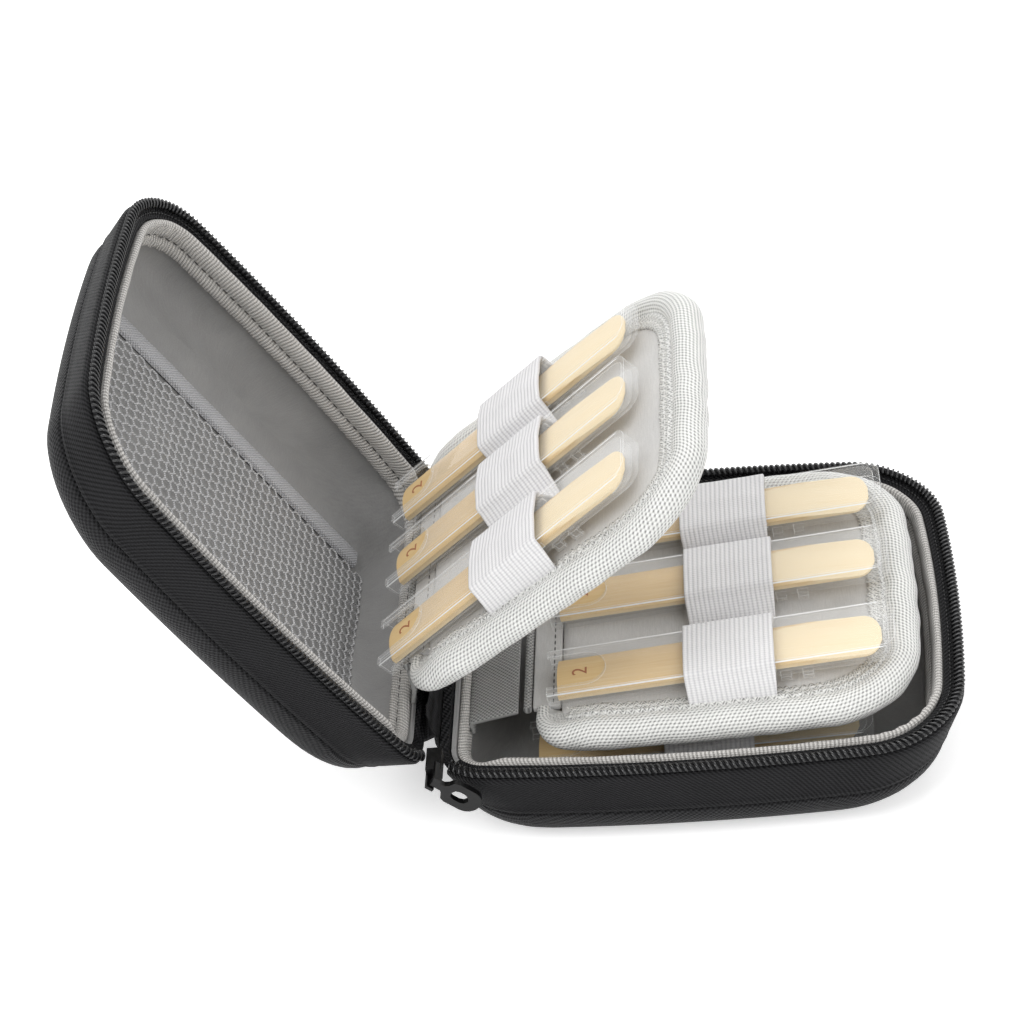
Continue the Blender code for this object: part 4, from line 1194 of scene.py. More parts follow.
@dataclass
class Pocket:
    """The net pocket over the front of the lid's floor, and the tape that binds its mouth."""

    lid: Shell
    cord: float = 0.46 * MM
    hole: float = 2.5 * MM
    wave: float = 0.35 * MM
    clear: float = 0.9 * MM
    edge_clear: float = 1.1 * MM
    back: float = 19.6 * MM
    tape_width: float = 5.0 * MM
    tape: float = 1.0 * MM
    tape_end: float = 1.6 * MM
    tape_wave: float = 0.12 * MM
    tape_steps: int = 90
    net_share: float = 0.6

    # The tape folded over the net's edge: how far across in tape widths, and how deep in tape thicknesses.
    FOLD: ClassVar[Section] = [(0.0, 0.45), (0.03, -0.35), (0.1, -0.62), (0.5, -0.7), (0.9, -0.6)]
    FOLD += [(1.0, -0.2), (1.0, 0.45)]

    @property
    def depth(self) -> float:
        """The net's depth below the lid's rim."""
        return self.lid.height - self.lid.felt_skin - self.clear

    def edge(self) -> Level:
        """The outline that the net reaches."""
        floor = self.lid.height - self.lid.felt_skin
        down = (self.depth + self.tape / 2 - self.lid.tub_top) / (floor - self.lid.tub_top)
        return self.lid.tub_level(self.lid.felt_skin + self.edge_clear, math.degrees(math.asin(down)))[0]

    def span(self) -> tuple[float, float]:
        """Where the net starts and ends along the lid."""
        level = self.edge()
        return level.spine, self.lid.rim.straight_length - level.far

    def build(self, finishes: Finishes) -> None:
        """Makes the net and its binding tape.

        Args:
            finishes: The case's finishes.
        """
        net = self.build_net(finishes)
        binding = self.build_binding(finishes)
        left, right = self.span()
        size = (right - left, self.back + self.lid.rim.straight_half - self.edge().side)

    def build_net(self, finishes: Finishes) -> bpy.types.Object:
        """Knits the net: six-sided holes, with a soft wave.

        Args:
            finishes: The case's finishes.

        Returns:
            The net.
        """
        left, right = self.span()
        reach = self.hole / math.sqrt(3)
        bm = bmesh.new()
        found: dict[tuple[int, int], bmesh.types.BMVert] = {}
        for i in range(int((right - left) / (1.5 * reach)) + 1):
            x = left + i * 1.5 * reach
            front = self.lid.rim.front_at(min(max(x, left), right), self.edge())
            for j in range(-40, 40):
                y = (j + 0.5 * (i % 2)) * self.hole
                if front + 0.6 * self.hole < y < self.back - 0.4 * self.hole:
                    self.knit_hole(bm, found, arc(x, y, reach, 0, 300, 5))
        mesh = bpy.data.meshes.new("net")
        bm.to_mesh(mesh)
        bm.free()
        piece = bpy.data.objects.new("net", mesh)
        bpy.context.scene.collection.objects.link(piece)
        cords = piece.modifiers.new("cords", "WIREFRAME")
        cords.thickness, cords.use_boundary, cords.use_replace = self.cord, True, True
        mesh = taken_mesh(piece)
        map_from_above(mesh)
        body, nodes = self.lid.body, ("pocket_net",)
        return placed("hexagonal_net", mesh, self.lid.where, finishes.net, body, nodes)

    def knit_hole(self, bm: bmesh.types.BMesh, found: dict, corners: Section) -> None:
        """Adds one hole to the net, joined to the holes beside it.

        Args:
            bm: The net, which gets it.
            found: The net's corners so far, by their places in tenths of a millimetre.
            corners: The hole's corners.
        """
        keys = [(round(x / (0.1 * MM)), round(y / (0.1 * MM))) for x, y in corners]
        for key, (x, y) in zip(keys, corners):
            if key not in found:
                wave = self.wave * ripple(x, y, 14 * MM, 5.0)
                found[key] = bm.verts.new((x, y, self.depth - 0.2 * MM + wave))
        if len(set(keys)) == len(corners):
            bm.faces.new([found[key] for key in keys])

    def build_binding(self, finishes: Finishes) -> bpy.types.Object:
        """Makes the binding tape, folded over the net's edge and a little proud of it.

        Args:
            finishes: The case's finishes.

        Returns:
            The tape.
        """
        left, right = self.span()
        start, depth = self.back + TOUCH, self.depth - 0.1 * MM
        rows = []
        for across, height in self.FOLD:
            row = []
            for i in range(self.tape_steps + 1):
                x = blended(left + self.tape_end, right, i / self.tape_steps)
                wave = self.tape_wave * ripple(x, across * MM, 9 * MM, 8.0)
                row.append((x, start + self.tape_width * across + wave, depth + self.tape * height + wave))
            rows.append(row)
        mesh, where = sheet_mesh(rows, wrap_stack=True, capped=True), self.lid.where
        body, nodes = self.lid.body, ("pocket_binding",)
        return placed("binding_tape", mesh, where, finishes.binding, body, nodes, 60)


@dataclass
class Spine:
    """The black gusset that closes the wedge between the two spine walls."""

    shell: Shell
    depth: float = 66.0 * MM
    drop: float = 9.0 * MM
    top: float = 1.1 * MM
    cloth: float = 0.7 * MM
    wave: float = 0.15 * MM
    steps: int = 60

    def build(self, finishes: Finishes) -> None:
        """Makes the gusset, folded between the spine walls at the lid's open angle.

        Args:
            finishes: The case's finishes.
        """
        hinge = joint("lid_hinge")
        turn = math.radians(-hinge["range_deg"][0])
        line = []
        for depth in np.linspace(self.drop, self.top, 9):
            line.append((self.shell.wall_level(0.0, depth).spine - TOUCH - self.cloth / 2, -depth))
        cos, sin = math.cos(turn), math.sin(turn)
        fold = [(x * cos + z * sin, x * sin - z * cos) for x, z in reversed(line)]
        ridge = 1.5 * self.cloth
        points = line + [(-ridge * math.sin(turn / 2), ridge * math.cos(turn / 2))] + fold
        rows = []
        for x, z in points:
            across = [blended(-self.depth, self.depth, i / self.steps) / 2 for i in range(self.steps + 1)]
            rows.append([(x + self.wave * ripple(y, z, 4 * MM, 9.0), y, z) for y in across])
        mesh = thickened(sheet_mesh(rows), self.cloth, 0.15 * MM)
        origin = Vector(hinge["pos_m"])
        nodes = ("spine_gusset",)
        piece = placed("folded_gusset", mesh, turned(origin, 0.0), finishes.gusset, "", nodes, 60)
        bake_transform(piece)


# Leaves


@dataclass
class Leaf(SubAssembly):
    """A padded leaf: border, felt panel, hem and the cloth that joins it to the spine."""

    name: str
    heel: float
    outline: Outline
    root: Vector
    places: Point = (-21.6 * MM, 2.6 * MM, 23.6 * MM)
    radius: float = 3.6 * MM
    end: float = 26.5 * MM
    end_share: float = 0.42
    end_run: float = 16.0 * MM
    flange_run: float = 3.0 * MM
    seam_inset: float = 5.1 * MM
    seam_rise: float = 0.5 * MM
    seam_pitch: float = 1.7 * MM
    panel: float = 3.2 * MM
    panel_crown: float = 0.25 * MM
    panel_wave: float = 0.06 * MM
    hem: float = 1.6 * MM
    hem_start: float = 1.2 * MM
    tab: float = 1.0 * MM
    tab_depth: float = 52.0 * MM
    turned_in: float = 1.5 * MM
    bead: float = 0.9 * MM
    fold: float = 0.28 * MM
    pucker: float = 0.22 * MM
    unevenness: float = 0.16 * MM
    lift: float = 0.05 * MM
    swell: float = 0.035

    # The border's cloth where it is drawn onto the panel: how far inside the roll's middle, how far above the
    # panel, and how loose it is, which sets its ruffles.
    FLANGE: ClassVar[list[Point]] = [(4.4, 0.08, 0.2), (5.6, 0.12, 0.8), (6.6, 0.2, 1.0), (6.5, 0.42, 1.0)]
    FLANGE += [(5.4, 0.42, 0.8), (4.3, 0.55, 0.4), (3.7, 1.1, 0.2)]
    # How far inside the panel's edge its rows lie.
    PANEL_STEPS: ClassVar[list[float]] = [0.0, 0.5, 1.2, 2.5, 5.0, 9.0, 14.0, 20.0, 27.0]

    @property
    def where(self) -> Matrix:
        """The leaf's frame: its origin at its spine edge, its middle plane in XY."""
        axis = joint(self.name + "_middle_holder_slide")["axis"]
        degrees = math.degrees(math.atan2(axis[2], axis[0])) - TILT
        return turned(joint(self.name + "_turn")["pos_m"], degrees)

    def build(self, finishes: Finishes) -> None:
        """Makes and dresses every piece of the leaf.

        Args:
            finishes: The case's finishes.
        """
        self.build_border(finishes)
        self.build_panel(finishes)
        self.build_hem(finishes)
        self.build_hinge_cloth(finishes)

    def build_border(self, finishes: Finishes) -> None:
        """Makes the padded border, its cloth drawn onto the panel in a ruffled, stitched edge."""
        outline = replace(self.outline, side_steps=260, far_steps=190, arc_steps=52)
        path = outline.points(self.outline.inside(self.radius), closed=False, end_half=self.end)
        lengths = run_of(path)
        inners = []
        for k in range(len(path)):
            before, after = path[max(0, k - 1)], path[min(len(path) - 1, k + 1)]
            ahead = Vector((after[0] - before[0], after[1] - before[1])).normalized()
            inners.append(Vector((-ahead.y, ahead.x)))
        section = [(inward, up, 0.0) for inward, up in arc(0.0, 0.0, self.radius, 36, 324, 18)]
        section.append((3.45 * MM, -0.4 * MM, 0.0))
        section += [(inward * MM, self.panel / 2 + up * MM, loose) for inward, up, loose in self.FLANGE]
        rows = []
        for shape in section:
            row = []
            for (x, y), u, inner in zip(path, lengths, inners):
                reach, height = self.border_point(u, min(u, lengths[-1] - u), shape)
                row.append((x + inner.x * reach, y + inner.y * reach, height))
            rows.append(row)
        mesh = sheet_mesh(rows, wrap_stack=True, capped=True)
        border = self.put("padded_border", mesh, finishes.mesh_cloth, "border", "border", 80)
        run = self.outline.points(self.outline.inside(self.radius + self.seam_inset), closed=False)
        rise, up = Vector((0, 0, self.panel / 2 + self.seam_rise)), Vector((0, 0, 1))
        places = []
        for spot, ahead, out in stations(run, self.seam_pitch):
            places.append(stitch(spot + rise, out, up, ahead, BORDER_STITCH))
        self.put("border_stitches", copies_mesh(bead_mesh(), places), finishes.light_thread, "border")

    def border_point(self, u: float, from_end: float, shape: Point) -> tuple[float, float]:
        """One point of the border's cloth.

        Args:
            u: How far along the border it lies.
            from_end: How far from the border's nearer end.
            shape: Its place in the cross section: inward, up and loose.

        Returns:
            How far inside the roll's middle line it lies, and its height.
        """
        inward, up, loose = shape
        taper = blended(self.end_share, 1.0, eased(from_end / self.end_run))
        fold = u / self.fold + 1.2 * ripple(u, 0.0, 9 * MM, 2.0)
        uneven = self.pucker * math.sin(fold) * loose + self.unevenness * ripple(u, inward, 5 * MM, 1.0)
        lift = self.lift * math.sin(fold + 1.1) * loose
        reach = inward * (1.0 if loose else taper) + uneven
        if loose:
            opened = eased(from_end / self.flange_run)
            reach = blended(1.5 * MM, reach, opened)
            lift += blended(-self.panel / 2, 0.0, opened) * 0.2
        swell = self.swell * ripple(u, up, 11 * MM, 4.0)
        plump = 1 + (swell if up > 0 else -0.02 - abs(swell))
        return reach * plump, up * taper * plump + lift

    def build_panel(self, finishes: Finishes) -> None:
        """Makes the felt panel, softly crowned on both faces and drawn in at its edge."""
        rows = []
        for sign in (-1, 1):
            stack = []
            for step in self.PANEL_STEPS:
                level = self.outline.inside(2 * self.radius + TOUCH + step * MM)
                height = self.panel / 2 * (0.5 + 0.5 * eased(step / 1.2))
                height += self.panel_crown * eased(step / 20)
                row = []
                for x, y in self.outline.points(level):
                    row.append((x, y, sign * (height + self.panel_wave * ripple(x, y, 8 * MM, sign))))
                stack.append(row)
            rows += list(reversed(stack)) if sign < 0 else stack
        mesh = sheet_mesh(rows, wrap_row=True, capped=True, flat_map=True)
        self.put("felt_panel", mesh, finishes.panel, "panel", "panel", 60)

    def build_hem(self, finishes: Finishes) -> None:
        """Makes the flat hem along the spine edge, with its row of stitches."""
        clear_selection()
        bpy.ops.mesh.primitive_cube_add(size=1.0, location=(0, 0, 0))
        cube = bpy.context.object
        near, far, half = self.hem_start, 2 * self.radius, self.end - TOUCH
        cube.scale = (far - near, 2 * half, self.hem)
        cube.location = ((near + far) / 2, 0, 0)
        bpy.ops.object.transform_apply(location=True, rotation=False, scale=True)
        bpy.ops.object.mode_set(mode="EDIT")
        bpy.ops.mesh.select_all(action="SELECT")
        bpy.ops.mesh.bevel(offset=0.45 * MM, segments=3)
        bpy.ops.object.mode_set(mode="OBJECT")
        mesh = taken_mesh(cube)
        map_from_above(mesh)
        self.put("sewn_hem", mesh, finishes.panel, "panel", "hem", 60)
        size = Matrix.Diagonal((0.16 * MM, 0.7 * MM, 0.12 * MM, 1))
        inset, last = 1.5 * MM, 25
        places = []
        for i in range(last + 1):
            y = blended(-half + inset, half - inset, i / last)
            places.append(Matrix.Translation((far - 1.6 * MM, y, self.hem / 2)) @ size)
        self.put("hem_stitches", copies_mesh(bead_mesh(), places), finishes.dark_thread, "panel")

    def build_hinge_cloth(self, finishes: Finishes) -> None:
        """Makes the cloth strip that the leaf hangs by, bent at its fold, and the sewn bead at its end."""
        hinge = joint(self.name + "_tab_hinge")
        root, body = self.root, self.name + "_tab_body"
        fold, end = Vector(hinge["pos_m"]), Vector(joint(self.name + "_turn")["pos_m"])
        bend, across = 6, [y * MM for y in range(-26, 27)]
        spots = [root.lerp(fold, i / bend) for i in range(bend)] + [fold.lerp(end, i / 12) for i in range(12)]
        spots = [spot for spot in spots if (spot - end).length > 1.1 * MM]
        middle = fold - (fold - (root + end) / 2).normalized() * 0.25 * MM
        spots[bend] = (spots[bend - 1] + spots[bend + 1]) / 4 + middle / 2
        rows = []
        for i, spot in enumerate(spots):
            rows.append([(spot.x, y, spot.z + 0.1 * MM * ripple(i * MM, y, 6 * MM, 6.0)) for y in across])
        mesh = thickened(sheet_mesh(rows), 0.8 * self.tab, 0.2 * MM)
        nodes = (self.name + "_tab",)
        if hinge["parent"] == "lid_body":
            nodes += (self.name + "_root",)
        name, slot = self.name + "_hinge_cloth", "hinge_cloth"
        cloth = placed(name, mesh, Matrix(), finishes.hinge, "", nodes, 60)
        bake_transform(cloth)
        rows = [[(x, y, z) for y in across] for x, z in arc(0.0, 0.0, self.bead, 0, 330, 11)]
        mesh, nodes = sheet_mesh(rows, wrap_stack=True, capped=True), (self.name + "_seam",)
        placed(self.name + "_sewn_bead", mesh, turned(end, 0.0), finishes.hinge, body, nodes, 60)


# Holders and reeds


@dataclass
class Holder:
    """A clear moulded reed holder: a shallow channel with a thumb notch, rails, clips and two feet."""

    length: float = 73.0 * MM
    width: float = 13.8 * MM
    height: float = 4.2 * MM
    wall: float = 0.7 * MM
    plate: float = 0.7 * MM
    ledge: float = 0.5 * MM
    ledge_width: float = 1.4 * MM
    corner: float = 3.6 * MM
    room_corner: float = 2.6 * MM
    gap_corner: float = 3.0 * MM
    notch_width: float = 9.0 * MM
    notch_length: float = 12.5 * MM
    notch_round: float = 0.98
    rail_width: float = 0.35 * MM
    rail_height: float = 0.45 * MM
    clip_share: float = 0.64
    clip_length: float = 1.2 * MM
    clip_depth: float = 0.2 * MM
    clip_low: float = 1.4 * MM
    clip_high: float = 2.6 * MM
    foot_place: float = 48.5 * MM
    foot_length: float = 2.2 * MM
    foot_pitch: float = 4.6 * MM
    foot_clear: float = 1.2 * MM
    foot_width: float = 1.3 * MM
    overrun: float = 2.0 * MM
    edge_round: float = 0.26 * MM
    edge_strip: float = 0.27 * MM

    def block(self, low: Point, high: Point, corner: float = 0.0) -> bpy.types.Object:
        """Adds a box between two corners, with the upright edges at its far end rounded.

        Args:
            low: Its lowest corner.
            high: Its highest corner.
            corner: The radius of its upright edges at the far end.

        Returns:
            The box.
        """
        clear_selection()
        bpy.ops.mesh.primitive_cube_add(size=1.0, location=(0, 0, 0))
        cube = bpy.context.object
        for vert in cube.data.vertices:
            vert.co = [blended(lo, hi, 0.5 + c) for lo, hi, c in zip(low, high, vert.co)]
        if corner:
            bpy.ops.object.mode_set(mode="EDIT")
            bpy.ops.mesh.select_mode(type="EDGE")
            bpy.ops.mesh.select_all(action="DESELECT")
            bm = bmesh.from_edit_mesh(cube.data)
            for edge in bm.edges:
                a, b = edge.verts
                upright = abs(a.co.x - b.co.x) < MM / 10 and abs(a.co.y - b.co.y) < MM / 10
                edge.select_set(upright and a.co.x > (low[0] + high[0]) / 2)
            bmesh.update_edit_mesh(cube.data)
            bpy.ops.mesh.bevel(offset=corner, segments=8)
            bpy.ops.object.mode_set(mode="OBJECT")
        return cube

    def cutters(self) -> list[bpy.types.Object]:
        """Adds the boxes that hollow the holder: its room, the gap under it, the notch, rails and clips."""
        half, over, length = self.width / 2, self.overrun, self.length
        room, end = half - self.wall, self.length - self.wall
        gap, notch = room - self.ledge_width, self.notch_width / 2
        middle, top, above = self.height / 2, self.height - self.plate, self.height + over
        found = [
            self.block((-over, -room, self.ledge), (end - self.wall, room, top), self.room_corner),
            self.block((-over, -gap, -over), (end - self.corner, gap, middle), self.gap_corner),
            self.block((-over, -notch, middle), (self.notch_length, notch, above), notch * self.notch_round),
        ]
        rail, start = self.height - self.rail_height, length * self.clip_share
        for sign in (-1, 1):
            low, high = sorted((sign * (half - self.rail_width), sign * (half + over)))
            found.append(self.block((-over, low, rail), (length + over, high, above)))
            low, high = sorted((sign * (half - self.clip_depth), sign * (half + over)))
            stop = start + self.clip_length
            found.append(self.block((start, low, self.clip_low), (stop, high, self.clip_high)))
        return found

    def feet(self) -> list[bpy.types.Object]:
        """Adds the two feet near the tip, which hold the tip up from the floor."""
        found = []
        for place in (self.foot_place, self.foot_place + self.foot_pitch):
            low = -(place * math.tan(math.radians(TILT)) + TOUCH - self.foot_clear)
            front = -self.width / 2
            high = (place + self.foot_length, front + self.foot_width, self.ledge)
            found.append(self.block((place, front + TOUCH, low), high))
        return found

    def template(self) -> bpy.types.Mesh:
        """Models the holder once.

        Returns:
            Its mesh, the middle of its heel's underside at the origin and its tip along +X.
        """
        half = self.width / 2
        body = self.block((0, -half, 0), (self.length, half, self.height), self.corner)
        cutters, feet = self.cutters(), self.feet()
        for operation, others in (("UNION", feet), ("DIFFERENCE", cutters)):
            for other in others:
                boolean = body.modifiers.new("cut", "BOOLEAN")
                boolean.operation, boolean.solver, boolean.object = operation, "EXACT", other
        bevel = body.modifiers.new("mould radius", "BEVEL")
        bevel.width, bevel.segments, bevel.limit_method = self.edge_round, 2, "ANGLE"
        bevel.angle_limit = math.radians(40)
        mesh = taken_mesh(body)
        for other in feet + cutters:
            bpy.data.objects.remove(other, do_unlink=True)
        self.paint_edge_highlights(mesh)
        return mesh

    def paint_edge_highlights(self, mesh: bpy.types.Mesh) -> None:
        """Marks the narrow faces of each rounded edge for a painted highlight: a bright white line where
        clear plastic gathers light.

        Args:
            mesh: The holder's mesh, which gets a moulded_edge attribute.
        """
        values = []
        for face in mesh.polygons:
            corners = [mesh.vertices[v].co for v in face.vertices]
            around = sum((a - b).length for a, b in zip(corners, corners[1:] + corners[:1]))
            values.append(1.0 if 2 * face.area / around < self.edge_strip else 0.0)
        mesh.attributes.new("moulded_edge", "FLOAT", "FACE").data.foreach_set("value", values)


@dataclass
class Reed:
    """A single reed, flat side down: full and barked at its heel, then cut in a U down to its thin tip."""

    length: float = 68.0 * MM
    heel_width: float = 10.8 * MM
    tip_width: float = 11.8 * MM
    tip_round: float = 4.2 * MM
    thickness: float = 2.4 * MM
    tip: float = 0.35 * MM
    edge_share: float = 0.45
    bark_share: float = 0.42
    shoulder: float = 1.2 * MM
    shoulder_run: float = 20.0 * MM
    cut_blur: float = 0.12 * MM
    under_cut: float = 0.6
    seat: float = 2.0 * MM
    columns: int = 22
    steps: int = 90
    number: str = "2"
    number_size: float = 4.6 * MM
    number_place: float = 5.0 * MM

    def heights(self, x: float, share: float) -> tuple[float, float]:
        """The top face.

        Args:
            x: The place along the reed.
            share: The place across it, from -1 to 1.

        Returns:
            The height there, and how far the cut lies below the bark, in metres.
        """
        bark = self.thickness * blended(1.0, self.edge_share, share * share)
        start = self.length * self.bark_share
        ramp = blended(self.thickness, self.tip, min(1.0, max(0.0, (x - start) / (self.length - start))))
        cut = ramp + self.shoulder * share**4 * max(0.0, 1 - (x - start) / self.shoulder_run)
        return min(bark, cut), bark - cut

    def template(self) -> bpy.types.Mesh:
        """Models the reed once.

        Returns:
            Its mesh, with the cut face in its cut_face attribute.
        """
        shares = [2 * j / self.columns - 1 for j in range(self.columns + 1)]
        rows, values = [], []
        for i in range(self.steps + 1):
            x = self.length * i / self.steps
            half = blended(self.heel_width, self.tip_width, i / self.steps) / 2
            beyond = max(0.0, (x - (self.length - self.tip_round)) / self.tip_round)
            half *= math.sqrt(max(0.04, 1 - 0.92 * beyond**2.4))
            tops = [self.heights(x, share) for share in shares]
            row = [(x, half * share, top) for share, (top, _) in zip(shares, tops)]
            rows.append(row + [(x, half * share, 0.0) for share in reversed(shares)])
            values += [min(1.0, max(0.0, cut / self.cut_blur)) for _, cut in tops]
            values += [self.under_cut] * len(shares)
        mesh = sheet_mesh(rows, wrap_row=True, capped=True, flat_map=True)
        mesh.attributes.new("cut_face", "FLOAT", "POINT").data.foreach_set("value", values)
        return mesh

    def numeral(self, finishes: Finishes, where: Matrix, name: str, body: str) -> None:
        """Prints the strength number on the heel.

        Args:
            finishes: The case's finishes.
            where: The reed's frame.
            name: The print's name.
            body: The body that the reed moves with.
        """
        clear_selection()
        bpy.ops.object.text_add(location=(0, 0, 0))
        text = bpy.context.object
        text.data.body, text.data.size = self.number, self.number_size
        text.data.align_x, text.data.align_y = "CENTER", "CENTER"
        text.data.extrude = 0.03 * MM
        clear_selection()
        text.select_set(True)
        bpy.context.view_layer.objects.active = text
        bpy.ops.object.convert(target="MESH")
        mesh = taken_mesh(bpy.context.object)
        quarter = Matrix.Rotation(math.radians(90), 4, "Z")
        mesh.transform(Matrix.Translation((self.number_place, 0.0, self.thickness + 0.01 * MM)) @ quarter)
        placed(name, mesh, where, finishes.ink, body)


@dataclass
class Bed:
    """A flat place for three reeds in their holders: the base's floor or a leaf's panel."""

    name: str
    body: str
    under: str
    where: Matrix
    floor: float
    heel: float
    edge: float
    places: Point


@dataclass
class Strap:
    """A woven elastic strip, sewn down between the holders so that it makes a loop over each."""

    bed: Bed
    holder: Holder
    thickness: float = 0.8 * MM
    start: float = 29.0 * MM
    width: float = 18.6 * MM
    clear: float = 0.35 * MM
    corner: float = 1.6 * MM
    crown: float = 0.3 * MM
    stitch: float = 1.4 * MM
    fine_step: float = 0.7 * MM
    columns: int = 22
    waist: float = 0.35 * MM
    wave: float = 0.08 * MM
    seam_stitches: int = 11

    # How far the strip is sewn off its line at each loop.
    SHIFTS: ClassVar[Point] = (0.0, 0.5 * MM, -0.2 * MM)

    def seams(self) -> list[float]:
        """Where the strip is sewn down between two holders."""
        return [(a + b) / 2 for a, b in zip(self.bed.places, self.bed.places[1:])]

    def profile(self) -> list[tuple[float, float, float, float]]:
        """The strap's middle line: place across the bed, height, share of the tilt's lift, and edge shift."""
        seat = self.bed.floor + TOUCH + self.thickness / 2
        top = seat + self.holder.height + self.clear
        reach = self.holder.width / 2 + self.clear + self.thickness / 2
        rise = [(reach, top - self.corner)]
        for turn in (0.5, 1.0):
            out = reach - self.corner * (1 - math.cos(turn))
            rise.append((out, top - self.corner * (1 - math.sin(turn))))
        rise.append((reach * 0.6, top))
        line = [(-self.bed.edge, seat, 0.0)]
        for place, seam in zip(self.bed.places, [*self.seams(), None]):
            line += [(place - out, height, 1.0) for out, height in rise]
            line.append((place, top + self.crown, 1.0))
            line += [(place + out, height, 1.0) for out, height in reversed(rise)]
            if seam is not None:
                low, sides = seat - 0.05 * MM, seat + 0.1 * MM
                half = self.stitch / 2
                line += [(seam - half, sides, 0.0), (seam, low, 0.0), (seam + half, sides, 0.0)]
        line.append((self.bed.edge, seat, 0.0))
        return [(y, z, lift, self.SHIFTS[sum(y > seam for seam in self.seams())]) for y, z, lift in line]

    def build(self, finishes: Finishes) -> None:
        """Makes the strap and the thread in its seams.

        Args:
            finishes: The case's finishes.
        """
        bed, coarse = self.bed, self.profile()
        line = [coarse[0]]
        for a, b in zip(coarse, coarse[1:]):
            steps = max(1, round(math.dist(a[:2], b[:2]) / self.fine_step))
            line += [tuple(blended(p, q, i / steps) for p, q in zip(a, b)) for i in range(1, steps + 1)]
        slope = math.tan(math.radians(TILT))
        rows = []
        for i in range(self.columns + 1):
            share = i / self.columns
            along = self.start + self.width * share
            row = []
            for y, z, lift, shift in line:
                waist = self.waist * (2 * share - 1) * (lift - 0.5)
                wave = self.wave * ripple(y, along, 5 * MM, 7.0)
                row.append((bed.heel + along + shift + waist, y, z + along * slope * lift + wave))
            rows.append(row)
        mesh = thickened(sheet_mesh(rows), self.thickness * 0.9, 0.18 * MM)
        name, nodes = bed.name + "_elastic", (bed.name + "_strap",)
        strap = placed(name, mesh, bed.where, finishes.elastic, bed.body, nodes, 60)
        size, places = Matrix.Diagonal((0.6 * MM, 0.16 * MM, 0.14 * MM, 1)), []
        for seam in self.seams():
            for i in range(self.seam_stitches):
                x = bed.heel + self.start + self.width * (i + 0.5) / self.seam_stitches
                spot = (x, seam, bed.floor + TOUCH + self.thickness * 0.85)
                places.append(Matrix.Translation(spot) @ size)
        thread = copies_mesh(bead_mesh(), places)
        placed(name + "_seam_thread", thread, bed.where, finishes.light_thread, bed.body)


@dataclass
class Rack:
    """Three holders with their reeds, side by side on one bed."""

    bed: Bed
    holder: Holder
    reed: Reed

    def build(self, finishes: Finishes, holder_mesh: bpy.types.Mesh, reed_mesh: bpy.types.Mesh) -> None:
        """Places the holders and reeds.

        Args:
            finishes: The case's finishes.
            holder_mesh: The holder's mesh, which is copied.
            reed_mesh: The reed's mesh, which is copied.
        """
        bed = self.bed
        for spot, place in zip(("front", "middle", "back"), bed.places):
            where = bed.where @ turned((bed.heel, place, bed.floor + TOUCH), TILT)
            seat = where @ Matrix.Translation((self.reed.seat, 0.0, self.holder.ledge + TOUCH))
            body = f"{bed.name}_{spot}_holder_body"
            for what, node, mesh, at, finish in (
                ("clear_holder", "holder", holder_mesh, where, finishes.clear),
                ("cane_reed", "reed", reed_mesh, seat, finishes.cane),
            ):
                nodes = (f"{bed.name}_{node}_{spot}",)
                placed(f"{bed.name}_{what}_{spot}", mesh.copy(), at, finish, body, nodes, 40)
            self.reed.numeral(finishes, seat, f"{bed.name}_numeral_{spot}", body)


def dress_slider(finishes: Finishes) -> None:
    """Gives the slider and its pull their enamel.

    Args:
        finishes: The case's finishes.
    """
    for node in ("zip_slider", "zip_pull"):
        mesh = frame["nodes"][node].data
        mesh.materials.clear()
        mesh.materials.append(finishes.enamel)


# Studio


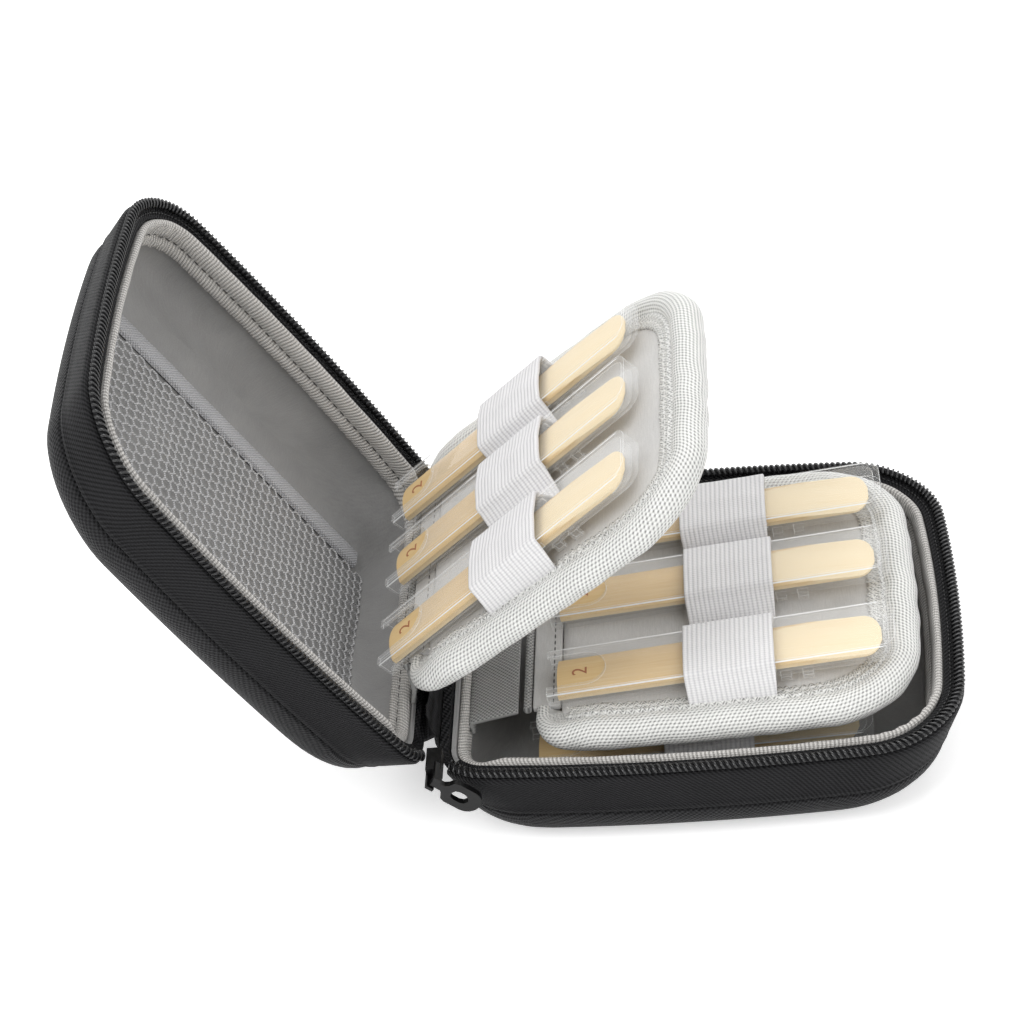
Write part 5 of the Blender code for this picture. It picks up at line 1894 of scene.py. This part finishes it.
@dataclass
class Studio:
    """A white sweep under soft light, seen from the photograph's place."""

    eye: Point = (26.2 * MM, -455.0 * MM, 436.0 * MM)
    right: Point = (0.9919, 0.0324, -0.1229)
    up: Point = (0.0727, 0.6484, 0.7578)
    lens: float = 100.5
    sensor: float = 36.0
    clip: tuple[float, float] = (0.01, 20.0)
    floor_size: float = 6.0
    room_light: float = 0.55

    # The soft panels: name, place, side in metres and power in watts.
    PANELS: ClassVar[list[tuple[str, Point, float, float]]] = [
        ("key_panel", (-0.7, -0.5, 1.3), 0.9, 11.0),
        ("fill_panel", (0.9, -0.9, 0.9), 1.0, 7.0),
        ("back_panel", (0.2, 1.1, 1.0), 1.0, 8.0),
    ]

    def build(self) -> None:
        """Makes the camera, the floor, the world and the lights."""
        scene = bpy.context.scene
        scene.view_settings.view_transform = "Standard"
        self.build_camera(scene)
        self.build_floor()
        self.build_world(scene)
        for panel in self.PANELS:
            self.build_light(*panel)

    def build_camera(self, scene: bpy.types.Scene) -> None:
        """Sets the camera up.

        Args:
            scene: The scene that uses it.
        """
        right, up = Vector(self.right).normalized(), Vector(self.up)
        up = (up - right * up.dot(right)).normalized()
        data = bpy.data.cameras.new("camera")
        data.lens, data.sensor_width = self.lens, self.sensor
        data.clip_start, data.clip_end = self.clip
        camera = bpy.data.objects.new("camera", data)
        camera.matrix_world = spanned(Vector(self.eye), right, up, right.cross(up))
        scene.collection.objects.link(camera)
        scene.camera = camera

    def seen_directly(self, tree: bpy.types.NodeTree) -> bpy.types.Node:
        """Whether a ray comes from the camera, or from it by gloss or through glass, as 0 or 1."""
        path = add(tree, "LightPath")
        seen = add(tree, "Math.MAXIMUM", path.outputs["Is Camera Ray"], path.outputs["Is Glossy Ray"])
        return add(tree, "Math.MAXIMUM", seen, path.outputs["Is Transmission Ray"])

    def build_floor(self) -> None:
        """Lays the pale floor, which shows white to the camera and keeps a faint shadow."""
        clear_selection()
        bpy.ops.mesh.primitive_plane_add(size=self.floor_size, location=(0, 0, -0.05 * MM))
        floor = bpy.context.object
        floor.name = "floor"
        material, node, shader = new_material("white_paper")
        plug(shader, Base_Color=srgb("#fafafa"), Roughness=0.9)
        glow = node("Emission", Color=srgb("#ffffff"), Strength=1 - self.room_light)
        seen = self.seen_directly(material.node_tree)
        chosen = node("MixShader", seen, shader, node("AddShader", shader, glow))
        plug(material.node_tree.nodes["Material Output"], Surface=chosen)
        floor.data.materials.append(material)

    def build_world(self, scene: bpy.types.Scene) -> None:
        """Gives the world its soft light and its white look.

        Args:
            scene: The scene that uses it.
        """
        world = bpy.data.worlds.new("white_room")
        world.use_nodes = True
        tree = world.node_tree
        seen = self.seen_directly(tree)
        strength = add(tree, "Math.MULTIPLY_ADD", seen, 1 - self.room_light, self.room_light)
        plug(tree.nodes["Background"], Color=srgb("#ffffff"), Strength=strength)
        scene.world = world

    def build_light(self, name: str, place: Point, size: float, power: float) -> None:
        """Hangs one soft panel that faces the case.

        Args:
            name: The light's name.
            place: Where it hangs.
            size: Its side.
            power: Its power in watts.
        """
        data = bpy.data.lights.new(name, "AREA")
        data.shape, data.size, data.energy = "SQUARE", size, power
        light = bpy.data.objects.new(name, data)
        light.location = place
        light.rotation_euler = Vector(place).to_track_quat("Z", "Y").to_euler()
        bpy.context.scene.collection.objects.link(light)


def main() -> None:
    """Builds the case and its studio."""
    logging.basicConfig(level=logging.INFO, format="%(message)s")
    finishes = Finishes()
    rim = Outline(109.2 * MM, 92.6 * MM, 2.7 * MM, 2.8 * MM, 17.0 * MM, 9.0 * MM)
    base, lid = Shell("base", -1, rim), Shell("lid", 1, rim)
    base.build(finishes)
    lid.build(finishes)
    Pocket(lid).build(finishes)
    Spine(base).build(finishes)
    sheet = Outline(83.1 * MM, 78.6 * MM, 1.5 * MM, 1.3 * MM, 18.0 * MM, 9.0 * MM)
    lid_root = lid.where @ Vector((4.3 * MM, 0.0, 3.6 * MM))
    base_root = base.where @ Vector((6.4 * MM, 0.0, -7.8 * MM))
    holder, reed = Holder(), Reed()
    shapes = (holder.template(), reed.template())
    beds = []
    for leaf in (Leaf("leaf_1", -2.2 * MM, sheet, lid_root), Leaf("leaf_2", 5.2 * MM, sheet, base_root)):
        leaf.build(finishes)
        edge = sheet.depth / 2 - 2 * leaf.radius - TOUCH
        under, floor = leaf.name + "_panel", leaf.panel / 2
        beds.append(Bed(leaf.name, leaf.body, under, leaf.where, floor, leaf.heel, edge, leaf.places))
    places = (-23.0 * MM, 0.5 * MM, 23.5 * MM)
    floor, heel, edge = base.felt_skin - base.height, 17.5 * MM, 33.5 * MM
    beds.append(Bed("base", base.body, "base_lining", base.where, floor, heel, edge, places))
    for bed in beds:
        Strap(bed, holder).build(finishes)
        Rack(bed, holder, reed).build(finishes, *shapes)
    dress_slider(finishes)
    Studio().build()


if __name__ == "__main__":
    main()
